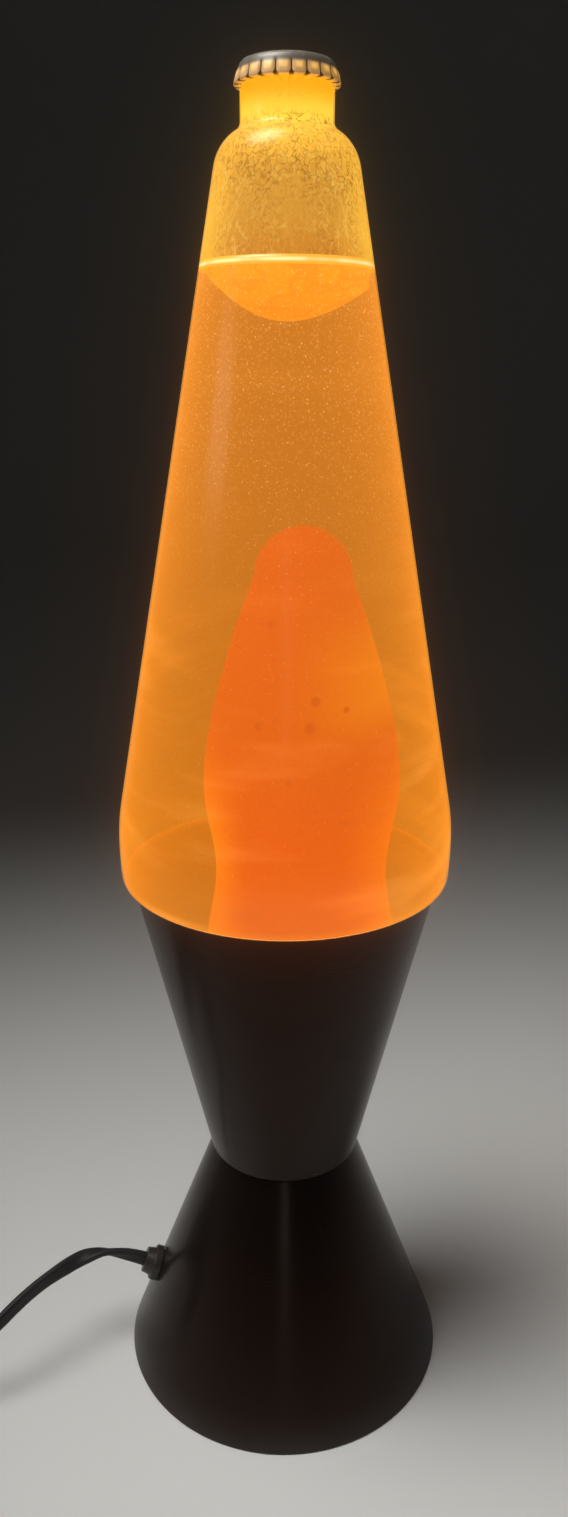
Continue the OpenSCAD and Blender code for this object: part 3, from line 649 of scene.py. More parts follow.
@dataclass(frozen=True)
class Moulding:
    """Moulded plastic, rubber or nylon."""

    name: str
    colour: Colour
    roughness: float
    grain: float = 1500.0
    depth: float = 0.05 * MM
    shine: float = 0.5

    def make(self) -> bpy.types.Material:
        """Builds the plastic with a fine moulded grain.

        Returns:
            The material.
        """
        shade = Shade(self.name)
        grain = shade.noise(self.grain, 2.0)
        clouds = shade.noise(60.0, 3.0)
        lighter = tuple(min(1.0, c * 1.7 + 0.001) for c in self.colour)
        return shade.done(shade.body(
            colour=shade.blend(self.colour, lighter, clouds * 0.6), shine=self.shine,
            roughness=self.roughness + (clouds - 0.5) * 0.14, normal=shade.bump(grain, self.depth, 0.5)))


@dataclass(frozen=True)
class Metal:
    """Bare or plated metal."""

    name: str
    colour: Colour
    roughness: float
    stain: Colour = (0.35, 0.3, 0.24)

    def make(self) -> bpy.types.Material:
        """Builds the metal with faint drawing lines and stains.

        Returns:
            The material.
        """
        shade = Shade(self.name)
        lines = shade.noise(900.0, 2.0, (1, 1, 0.08))
        stains = shade.noise(120.0, 4.0).between(0.58, 0.85)
        return shade.done(shade.body(
            colour=shade.blend(self.colour, self.stain, stains * 0.5), metallic=1.0,
            roughness=self.roughness + stains * 0.2 + lines * 0.08, normal=shade.bump(lines, 0.02 * MM, 0.4)))


@dataclass(frozen=True)
class CrownTin:
    """Bare tinplate with a lacquered, warm skirt."""

    teeth_z: float
    low_z: float
    flutes: int
    name: str = "crown_tin"
    top: Colour = (0.27, 0.235, 0.19)
    skirt: Colour = (0.82, 0.6, 0.36)
    lit: Colour = (0.24, 0.11, 0.02)
    lit_heart: Colour = (0.66, 0.34, 0.045)
    gap_shade: Colour = (0.16, 0.075, 0.03)
    worn_skirt: Colour = (0.42, 0.3, 0.18)
    worn_top: Colour = (0.34, 0.32, 0.3)
    unlit: Colour = (0.0, 0.0, 0.0)
    hem_h: float = 1.6 * MM

    def make(self) -> bpy.types.Material:
        """Builds the tinplate with painted shade in the gaps between the teeth and a painted glow with a
        painted highlight on each tooth.

        Returns:
            The material.
        """
        shade = Shade(self.name)
        x, y, z = shade.axes()
        turn = y.maths("ARCTAN2", y, x) * (self.flutes / (2 * math.pi)) + self.flutes
        away = abs(turn.maths("FRACT", turn) - 0.5) * 2
        below = 1 - z.between(self.teeth_z - 0.7 * MM, self.teeth_z + 0.2 * MM)
        scuffs = shade.noise(420.0, 4.0)
        worn = scuffs.between(0.52, 0.75)
        tooth = shade.blend(self.skirt, self.worn_skirt, worn * 0.7)
        hem = 1 - z.between(self.low_z, self.low_z + self.hem_h)
        # Painted shade between the teeth, wider near the skirt's lower edge.
        between = (away + hem * hem * 0.22).between(0.84, 0.97)
        rise = abs(z - (self.teeth_z + self.low_z) / 2 - 0.4 * MM) / (self.teeth_z - self.low_z)
        # Painted highlight in the middle of each tooth, on a painted glow that leaves the gaps unlit.
        lit_heart = (1 - away.between(0.2, 0.75)) * (1 - rise.between(0.05, 0.36))
        lit = shade.blend(self.lit, self.lit_heart, lit_heart * (1 - worn * 0.5))
        lacquer = shade.blend(tooth, self.gap_shade, between)
        crown = shade.blend(self.top, self.worn_top, worn)
        return shade.done(shade.body(
            colour=shade.blend(crown, lacquer, below), metallic=0.2, roughness=0.4 + worn * 0.2,
            glow=shade.blend(self.unlit, lit, below * (1 - between)), glow_strength=1.0,
            normal=shade.bump(scuffs, 0.06 * MM, 0.5)))


@dataclass(frozen=True)
class Frosted:
    """Pale frosted or clear inner glass, lit by the filament."""

    name: str
    colour: Colour
    share: float
    glow: float

    def make(self) -> bpy.types.Material:
        """Builds the glass with a soft glow.

        Returns:
            The material.
        """
        shade = Shade(self.name)
        haze = shade.noise(90.0, 3.0)
        solid = shade.body(
            colour=self.colour, roughness=0.35, glow=self.colour, glow_strength=self.glow,
            normal=shade.bump(haze, 0.2 * MM, 0.3))
        return shade.done(shade.see_through(self.colour, solid, self.share + haze * 0.1))


# Mesh helpers


def mesh_object(name: str, mesh: bmesh.types.BMesh, smooth: bool = True) -> bpy.types.Object:
    """Turns a bmesh into an object of the scene.

    Args:
        name: The piece's name.
        mesh: Its geometry, which is freed.
        smooth: Whether its faces are shaded smooth.

    Returns:
        The new object.
    """
    bmesh.ops.recalc_face_normals(mesh, faces=mesh.faces)
    for face in mesh.faces:
        face.smooth = smooth
    data = bpy.data.meshes.new(name)
    mesh.to_mesh(data)
    mesh.free()
    made = bpy.data.objects.new(name, data)
    bpy.context.scene.collection.objects.link(made)
    return made


def tube_mesh(rings: Sequence[Sequence[Vector]], closed_ends: bool = True,
              looped: bool = False) -> bmesh.types.BMesh:
    """Skins a row of rings that have as many points each.

    Args:
        rings: The rings, each a closed loop of points.
        closed_ends: Whether the first and last ring get a face.
        looped: Whether the last ring joins the first.

    Returns:
        The geometry.
    """
    mesh = bmesh.new()
    rows = [[mesh.verts.new(p) for p in ring] for ring in rings]
    for first, second in zip(rows, rows[1:] + rows[:1] if looped else rows[1:]):
        for k, corner in enumerate(first):
            n = (k + 1) % len(first)
            mesh.faces.new((corner, first[n], second[n], second[k]))
    if closed_ends and not looped:
        mesh.faces.new(rows[0])
        mesh.faces.new(rows[-1])
    return mesh


def turned(outline: Outline, segments: int = 128,
           shift: Callable[[float, float], Point] | None = None) -> list[list[Vector]]:
    """Rings of a turned shape.

    Args:
        outline: Radius and height, in metres, from one end to the other.
        segments: Points round each ring.
        shift: Gives, for a turn angle and a height, what to add to radius, x and y.

    Returns:
        The rings.
    """
    rings = []
    for radius, z in outline:
        ring = []
        for k in range(segments):
            a = 2 * math.pi * k / segments
            grow, dx, dy = shift(a, z) if shift else (0.0, 0.0, 0.0)
            r = max(radius + grow, 1e-6)
            ring.append(Vector((r * math.cos(a) + dx, r * math.sin(a) + dy, z)))
        rings.append(ring)
    return rings


def soft(t: float) -> float:
    """A soft step from 0 to 1 while t goes from 0 to 1."""
    return (1 - math.cos(math.pi * t)) / 2


def arc(centre: tuple[float, float], radius: float, start: float, stop: float, count: int) -> Outline:
    """Points of an arc, with angles in degrees."""
    angles = [math.radians(start + (stop - start) * i / count) for i in range(count + 1)]
    return [(centre[0] + radius * math.cos(a), centre[1] + radius * math.sin(a)) for a in angles]


def climb(start: tuple[float, float], stop: tuple[float, float], count: int,
          ease: Callable[[float], float]) -> Outline:
    """Points of an outline that goes up from one point to just before another.

    Args:
        start: Radius and height of the first point.
        stop: Radius and height of the point that comes next.
        count: How many points there are.
        ease: The share of the change in radius, for a share of the height.

    Returns:
        Radius and height of each point.
    """
    shares = [i / count for i in range(count)]
    return [(start[0] + (stop[0] - start[0]) * ease(t), start[1] + (stop[1] - start[1]) * t) for t in shares]


def dress(node: bpy.types.Object, finish: bpy.types.Material) -> None:
    """Gives an object one material."""
    node.data.materials.clear()
    node.data.materials.append(finish)


def dress_all(nodes: dict[str, bpy.types.Object], finishes: dict[str, bpy.types.Material]) -> None:
    """Gives each named node its material.

    Args:
        nodes: The frame's nodes.
        finishes: A material for each node's name.
    """
    for name, finish in finishes.items():
        dress(nodes[name], finish)
        log.info("dressed %s", name)


def mount(piece: bpy.types.Object, finish: bpy.types.Material, body: str, slot: str,
          *nodes: str) -> bpy.types.Object:
    """Dresses a piece and puts it on its body.

    Args:
        piece: The piece.
        finish: Its material.
        body: The body it rides on.
        slot: The record's material slot; not used.
        nodes: The nodes that it stands for, if any.

    Returns:
        The piece.
    """
    dress(piece, finish)
    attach(piece, body)
    if nodes:
        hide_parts(*nodes)
    log.info("made %s", piece.name)
    return piece


# Sub-assemblies


@dataclass
class Bottle:
    """The glass bottle, its liquid, its wax and its crown cap."""

    frame: dict[str, Any]
    body: str = "bottle"
    float_body: str = "wax_float"
    skin: float = 0.35 * MM
    seat_gap: float = 0.3 * MM
    plug_depth: float = 26 * MM
    plug_gap: float = 2 * MM
    plug_round: float = 5 * MM
    punt_h: float = 5 * MM
    cup_slope: float = 0.23445
    heel_r: float = 53.5 * MM
    heel_chamfer: float = 0.6 * MM
    heel_round: float = 1.6 * MM
    belt_low: float = 4 * MM
    belt_r: float = 53.9 * MM
    belt_h: float = 13 * MM
    taper_r: float = 53 * MM
    taper_h: float = 24 * MM
    shoulder_r: float = 20.2 * MM
    shoulder_h: float = 208.7 * MM
    shoulder_round: float = 12.5 * MM
    neck_h: float = 10.5 * MM
    neck_r: float = 12.8 * MM
    neck_fillet: float = 3 * MM
    bead: Pairs = ((0.0, 5.5), (0.4, 5.0), (0.4, 1.0), (-1.0, 0.1))
    line_h: float = 2.2 * MM
    float_gap: float = 1.3 * MM
    float_right: float = 6.6 * MM
    float_left: float = 2.4 * MM
    float_fall: float = 2.1
    wax_crown_r: float = 15 * MM
    wax_belly_h: float = 30 * MM
    wax_foot_r: float = 24 * MM
    wax_heel_r: float = 28.4 * MM
    wax_swell: float = 1.65
    wax_lump: float = 0.7 * MM
    pits: tuple[Point, ...] = ((-4.5, 276, 1.4), (8.8, 255, 1.9), (7.1, 247.4, 2.2),
                               (-8.1, 247, 1.6), (18, 252, 1.2), (1, 231, 1.3))
    cap_flutes: int = 21
    cap_teeth: float = 2.6 * MM
    cap_crown: Pairs = ((0.2, 0.0), (9.0, 0.02), (11.0, 0.12), (12.2, 0.5), (12.9, 1.2),
                        (13.25, 2.0), (13.5, 2.6), (13.75, 3.1), (14.0, 3.8), (14.2, 4.6))
    cap_mouth_r: float = 13.45 * MM

    def __post_init__(self) -> None:
        """Reads the bottle's heights from the frame."""
        self.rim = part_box("base_cup")[1]
        self.heel_z = self.rim[2] + self.seat_gap
        self.liquid_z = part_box("wax_float")[1][2]
        self.mouth_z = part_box("glass_bottle")[1][2]
        self.neck_z = self.heel_z + self.shoulder_h + self.neck_h

    def side(self, inset: float) -> Outline:
        """Half outline of the bottle from its floor to its neck.

        Args:
            inset: How far the outline is moved inwards.

        Returns:
            Radius and height of each point.
        """
        heel = self.heel_z
        plug_z = heel - self.plug_depth
        plug_top_r = self.rim[0] - self.plug_gap
        punt_r = plug_top_r - self.plug_depth * self.cup_slope - self.plug_round
        ball = (punt_r ** 2 + self.punt_h ** 2) / (2 * self.punt_h)
        sweep = math.degrees(math.asin(punt_r / ball))
        points = arc((0, plug_z + self.punt_h - ball), ball + inset, 89.5, 90 - sweep, 8)
        lean = math.degrees(math.atan(self.cup_slope))
        points += arc((punt_r, plug_z + self.plug_round), self.plug_round - inset, 270, 360 - lean, 6)
        points.append((plug_top_r - inset, heel + inset))
        points.append((self.heel_r - inset - self.heel_chamfer, heel + inset))
        for i in range(9):
            h = self.belt_low + (self.taper_h - self.belt_low) * i / 8
            up = h < self.belt_h
            far = (self.belt_h - h) / self.belt_h if up else (h - self.belt_h) / (self.taper_h - self.belt_h)
            fall = self.belt_r - self.heel_r if up else self.belt_r - self.taper_r
            points.append((self.belt_r - fall * far ** 2 - inset, heel + h))
        slope = math.atan((self.taper_r - self.shoulder_r) / (self.shoulder_h - self.taper_h))
        bulge = (self.shoulder_r - self.shoulder_round * math.cos(slope),
                 heel + self.shoulder_h - self.shoulder_round * math.sin(slope))
        reach = self.shoulder_round + self.neck_fillet
        end = math.degrees(math.acos((self.neck_r + self.neck_fillet - bulge[0]) / reach))
        hollow = arc(bulge, reach, end, end, 1)[0]
        points += arc(bulge, self.shoulder_round - inset, math.degrees(slope), end, 12)
        points += arc(hollow, self.neck_fillet + inset, 180 + end, 180, 8)
        return points

    def taper(self, z: float) -> float:
        """Outer radius of the glass on its straight taper."""
        share = (z - self.heel_z - self.taper_h) / (self.shoulder_h - self.taper_h)
        return self.taper_r + (self.shoulder_r - self.taper_r) * share

    def add(self, mesh: bmesh.types.BMesh, name: str, finish: bpy.types.Material, slot: str,
            *nodes: str) -> bpy.types.Object:
        """Makes a piece and puts it on the bottle."""
        return mount(mesh_object(name, mesh), finish, self.body, slot, *nodes)

    def make_column(self) -> None:
        """Builds the standing wax column."""
        low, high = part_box("wax_column")
        belly_r = (high[0] - low[0]) / 2
        centre = ((low[0] + high[0]) / 2, (low[1] + high[1]) / 2)
        belly_z = self.heel_z + self.wax_belly_h
        dome_z = high[2] - self.wax_crown_r
        foot_z = low[2] + 0.2 * MM
        steps = 16
        outline = [(self.wax_foot_r * 0.4, low[2])]
        outline += climb((self.wax_foot_r, foot_z), (self.wax_heel_r, self.heel_z), steps, soft)
        outline += climb((self.wax_heel_r, self.heel_z), (belly_r, belly_z), steps, soft)
        outline += climb((belly_r, belly_z), (self.wax_crown_r, dome_z), steps, lambda t: t ** self.wax_swell)
        outline += [(self.wax_crown_r, dome_z), *arc((0, dome_z), self.wax_crown_r, 6, 89, 14)]

        def lumps(a: float, z: float) -> Point:
            """Slow swells that keep the column inside its solid."""
            swell = 0.5 + 0.5 * math.sin(2 * a + z * 60) * math.sin(z * 45 + 1)
            return -self.wax_lump * swell, centre[0], centre[1]

        pits = tuple((x * MM, z * MM, size * MM) for x, z, size in self.pits)
        finish = GlowWax(self.heel_z, high[2], centre[0], belly_r, pits=pits)
        self.add(tube_mesh(turned(outline, 96, lumps)), "wax_body", finish.make(), "orange_wax", "wax_column")

    def make_float(self) -> None:
        """Builds the wax that hangs under the liquid line, thicker on its right."""
        low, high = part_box("wax_float")
        r = self.taper(self.liquid_z) - self.float_gap
        deep = high[2] - low[2]
        rings = []
        steps = 22
        sides = 96
        for i in range(steps + 1):
            share = max(math.sin(0.5 * math.pi * i / steps), 0.02)
            ring = []
            for k in range(sides):
                a = 2 * math.pi * k / sides
                x = share * math.cos(a)
                right = self.float_right * max(0.0, x) ** 1.5 * share
                wave = 0.25 * MM * math.sin(3 * a + 1) * share * (1 - share)
                left = self.float_left * max(0.0, -x) ** 1.5 * share
                drop = deep * (1 - share ** self.float_fall) * 0.98 + right + left + wave
                ring.append(Vector((r * x, r * share * math.sin(a), high[2] - min(drop, deep) - 0.05 * MM)))
            rings.append(ring)
        rings.append([Vector((p.x, p.y, high[2])) for p in rings[-1]])
        finish = GlowWax(
            low[2], high[2], half_w=r, name="float_wax", lit_heart=(0.7, 0.28, 0.0), body=(0.72, 0.34, 0.0),
            top=(0.76, 0.42, 0.002), rim=(0.76, 0.4, 0.002), lit_flank=(0.76, 0.42, 0.0), pit=(0.55, 0.15, 0.0),
            swirl=0.32)
        piece = mesh_object("float_body", tube_mesh(rings))
        mount(piece, finish.make(), self.float_body, "float_wax", "wax_float")

    def make_liquid(self) -> None:
        """Builds the liquid as one clear body inside the glass."""
        inset = self.skin
        outline = [p for p in self.side(inset) if p[1] < self.liquid_z]
        outline += [(self.taper(self.liquid_z) - inset, self.liquid_z), (0.001, self.liquid_z + 0.05 * MM)]
        finish = AmberLiquid(self.liquid_z, self.heel_z)
        self.add(tube_mesh(turned(outline)), "liquid_body", finish.make(), "amber_liquid", "liquid_fill")

    def make_air(self) -> None:
        """Builds the droplets above the liquid and the bright edge of the liquid."""
        inset = self.skin
        low = self.liquid_z + 0.2 * MM
        heights = [low + (self.neck_z - low) * i / 12 for i in range(7)]
        outline = [(self.taper(z) - inset, z) for z in heights]
        outline += [p for p in self.side(inset) if p[1] > outline[-1][1]]
        outline.append((self.neck_r - inset, self.mouth_z - 1.5 * MM))
        finish = Condensation(self.liquid_z, self.neck_z)
        self.add(tube_mesh(turned(outline), False), "condensation_film", finish.make(), "clear_glass")
        low, high = self.liquid_z - self.line_h, self.liquid_z + 0.1 * MM
        section = ((0.32, low), (0.2, low), (0.12, (low + high) / 2), (0.12, high), (0.32, high))
        edge = [(self.taper(z) - depth * MM, z) for depth, z in section]
        finish = Meniscus(low, high).make()
        self.add(tube_mesh(turned(edge), False, True), "meniscus_edge", finish, "amber_liquid")

    def make_glass(self) -> bpy.types.Object:
        """Builds the bottle's outer face and the mirror of its heel.

        Returns:
            The mirror.
        """
        outline = self.side(0.0)
        inner_r = self.heel_r - self.heel_chamfer - 0.2 * MM
        heel = next(i for i, p in enumerate(outline) if p[0] > inner_r)
        turn = self.heel_round
        centre = (self.heel_r - turn, self.heel_z + turn)
        outline = outline[:heel] + arc(centre, turn, 270, 360, 6) + outline[heel + 1:]
        outline += [(self.neck_r + grow * MM, self.mouth_z - drop * MM) for grow, drop in self.bead]
        finish = BottleGlass(self.liquid_z, self.mouth_z).make()
        self.add(tube_mesh(turned(outline, 160), False), "glass_body", finish, "clear_glass", "glass_bottle")
        curve = arc(centre, turn - 0.15 * MM, 270, 322, 5)
        disc = [(0.5 * MM, curve[0][1]), *curve, (0.5 * MM, curve[-1][1])]
        piece = self.add(tube_mesh(turned(disc, 160)), "heel_disc", HeelMirror().make(), "clear_glass")
        # Painted light: the disc's underside glows amber, and its side is a painted highlight line.
        piece.data.materials.append(HeelGlow().make())
        piece.data.materials.append(HeelGlow("heel_painted_highlight", (0.98, 0.5, 0.16), 1.2).make())
        for face in piece.data.polygons:
            face.material_index = 0 if face.normal.z > 0.5 else 1 if face.normal.z < -0.99 else 2
            face.use_smooth = False
        return piece

    def make_cap(self) -> None:
        """Builds the crown cap with its crimped skirt."""
        low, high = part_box("crown_cap")
        out_r = (high[0] - low[0]) / 2
        top = high[2]
        height = top - low[2]
        outline = [(r * MM, drop * MM) for r, drop in self.cap_crown]
        outline += [(out_r - 0.08 * MM, 5.5 * MM), (out_r - 0.02 * MM, height - 0.15 * MM),
                    (out_r - 0.3 * MM, height), (self.cap_mouth_r, height)]

        def flutes(a: float, z: float) -> Point:
            """Gaps between broad teeth, deeper towards the skirt's edge.

            Args:
                a: The turn angle.
                z: The height.

            Returns:
                What to add to the radius, x and y.
            """
            turn = a * self.cap_flutes / (2 * math.pi)
            away = abs(turn - math.floor(turn) - 0.5) * 2
            depth = min(1.0, max(0.0, (top - z - self.cap_teeth) / (0.9 * MM)))
            hem = max(0.0, (top - z - 0.75 * height) / (0.25 * height))
            return -MM * depth * (0.62 + 0.35 * hem) * away ** 5, 0.0, 0.0

        rings = turned([(r, top - drop) for r, drop in outline], self.cap_flutes * 16, flutes)
        finish = CrownTin(top - self.cap_teeth, low[2], self.cap_flutes)
        self.add(tube_mesh(rings), "crown_body", finish.make(), "cap_metal", "crown_cap")

    def build(self) -> bpy.types.Object:
        """Builds and dresses the bottle.

        Returns:
            The mirror of its heel.
        """
        self.make_column()
        self.make_float()
        self.make_liquid()
        self.make_air()
        self.make_cap()
        heel = self.make_glass()
        dress_all(self.frame["nodes"], {
            "cap_liner": Moulding("cap_liner", (0.8, 0.75, 0.6), 0.6).make(),
            "heating_coil": Metal("coil_wire", (0.6, 0.6, 0.62), 0.3).make(),
        })
        return heel


@dataclass
class Base:
    """The two painted cones and the lamp socket and bulb inside them."""

    frame: dict[str, Any]
    body: str = "base"
    sheet: float = 1.0 * MM
    waist_r: float = 26 * MM
    foot_top_r: float = 25.2 * MM
    hole_r: float = 18.2 * MM
    hem_w: float = 5 * MM
    edge: float = 0.45 * MM

    def wall(self, low: tuple[float, float], high: tuple[float, float]) -> Outline:
        """Points along a straight wall, close together near its ends."""
        shares = (0.0, 0.004, 0.02, 0.5, 0.98, 0.996, 1.0)
        return [(low[0] + (high[0] - low[0]) * t, low[1] + (high[1] - low[1]) * t) for t in shares]

    def make_cone(self, name: str, node: str, outline: Outline,
                  finish: bpy.types.Material) -> bpy.types.Object:
        """Makes one spun cone from its closed half section."""
        piece = mesh_object(name, tube_mesh(turned(outline, 160), False, True))
        return mount(piece, finish, self.body, "base_paint", node)

    def make_cup(self, finish: bpy.types.Material) -> bpy.types.Object:
        """Builds the cup that holds the bottle, with its edges rounded.

        Args:
            finish: Its paint.

        Returns:
            The cup.
        """
        low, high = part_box("base_cup")
        z0, z1, rim, waist = low[2], high[2], high[0], self.waist_r
        e, t = self.edge, self.sheet
        outline = [(self.hole_r, z0), (waist - 3 * e, z0), (waist - e, z0), (waist - 0.3 * e, z0 + 0.25 * e)]
        outline += self.wall((waist, z0 + e), (rim - 0.2 * MM, z1 - e))
        outline += [(rim - 0.25 * MM, z1 - 0.2 * e), (rim - 0.5 * t, z1), (rim - t + 0.1 * MM, z1 - 0.2 * e)]
        outline += self.wall((rim - t - 0.1 * MM, z1 - e), (waist - t + 0.2 * MM, z0 + 1.4 * t))
        outline += [(waist - 1.4 * t, z0 + t), (self.hole_r, z0 + t)]
        return self.make_cone("cup_body", "base_cup", outline, finish)

    def make_foot(self, finish: bpy.types.Material) -> bpy.types.Object:
        """Builds the foot that stands on the table, with its hem turned in.

        Args:
            finish: Its paint.

        Returns:
            The foot.
        """
        low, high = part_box("base_foot")
        z0, z1, r, top = low[2], high[2], high[0], self.foot_top_r
        e, t = self.edge, self.sheet
        outline = [(r - self.hem_w, z0), (r - 3 * e, z0), (r - e, z0), (r - 0.4 * e, z0 + 0.2 * e)]
        outline += self.wall((r - 0.45 * e, z0 + e), (top + 0.1 * MM, z1 - e))
        outline += [(top - 0.3 * e, z1 - 0.25 * e), (top - e, z1), (top - 3 * e, z1)]
        outline += [(self.hole_r, z1), (self.hole_r, z1 - t)]
        outline += self.wall((top - 1.1 * t, z1 - t), (r - 1.5 * t, z0 + 1.1 * t))
        outline += [(r - 2 * t, z0 + t), (r - self.hem_w, z0 + t)]
        return self.make_cone("foot_body", "base_foot", outline, finish)

    def build(self) -> list[bpy.types.Object]:
        """Dresses the base's nodes and builds its cones.

        Returns:
            The two painted cones.
        """
        paint = SpunPaint().make()
        steel = Metal("plated_steel", (0.62, 0.6, 0.55), 0.35).make()
        brass = Metal("drawn_brass", (0.78, 0.58, 0.26), 0.28).make()
        finishes = {
            "waist_rivets": steel, "socket_bracket": steel,
            "bottom_cover": Moulding("fibre_board", (0.16, 0.12, 0.085), 0.85, 700.0, 0.1 * MM).make(),
            "socket_body": Moulding("phenolic", (0.05, 0.035, 0.03), 0.3).make(),
            "socket_shell": brass, "socket_contact": brass, "terminal_screws": brass, "socket_screws": steel,
            "bulb_glass": Frosted("bulb_glass", (1.0, 0.86, 0.62), 0.75, 1.2).make(),
            "bulb_base": Metal("bulb_base", (0.7, 0.68, 0.64), 0.3).make(),
            "bulb_insulator": Moulding("black_glass", (0.02, 0.02, 0.025), 0.12).make(),
            "bulb_tip": steel, "bulb_filament": steel,
            "bulb_stem": Frosted("stem_glass", (0.95, 0.95, 0.92), 0.3, 0.2).make(),
            "lead_live": Moulding("lead_black", (0.03, 0.03, 0.03), 0.5).make(),
            "lead_neutral": Moulding("lead_white", (0.75, 0.74, 0.7), 0.5).make(),
            "strain_relief": Moulding("relief_nylon", (0.016, 0.0105, 0.007), 0.36).make(),
        }
        dress_all(self.frame["nodes"], finishes)
        return [self.make_cup(paint), self.make_foot(paint)]


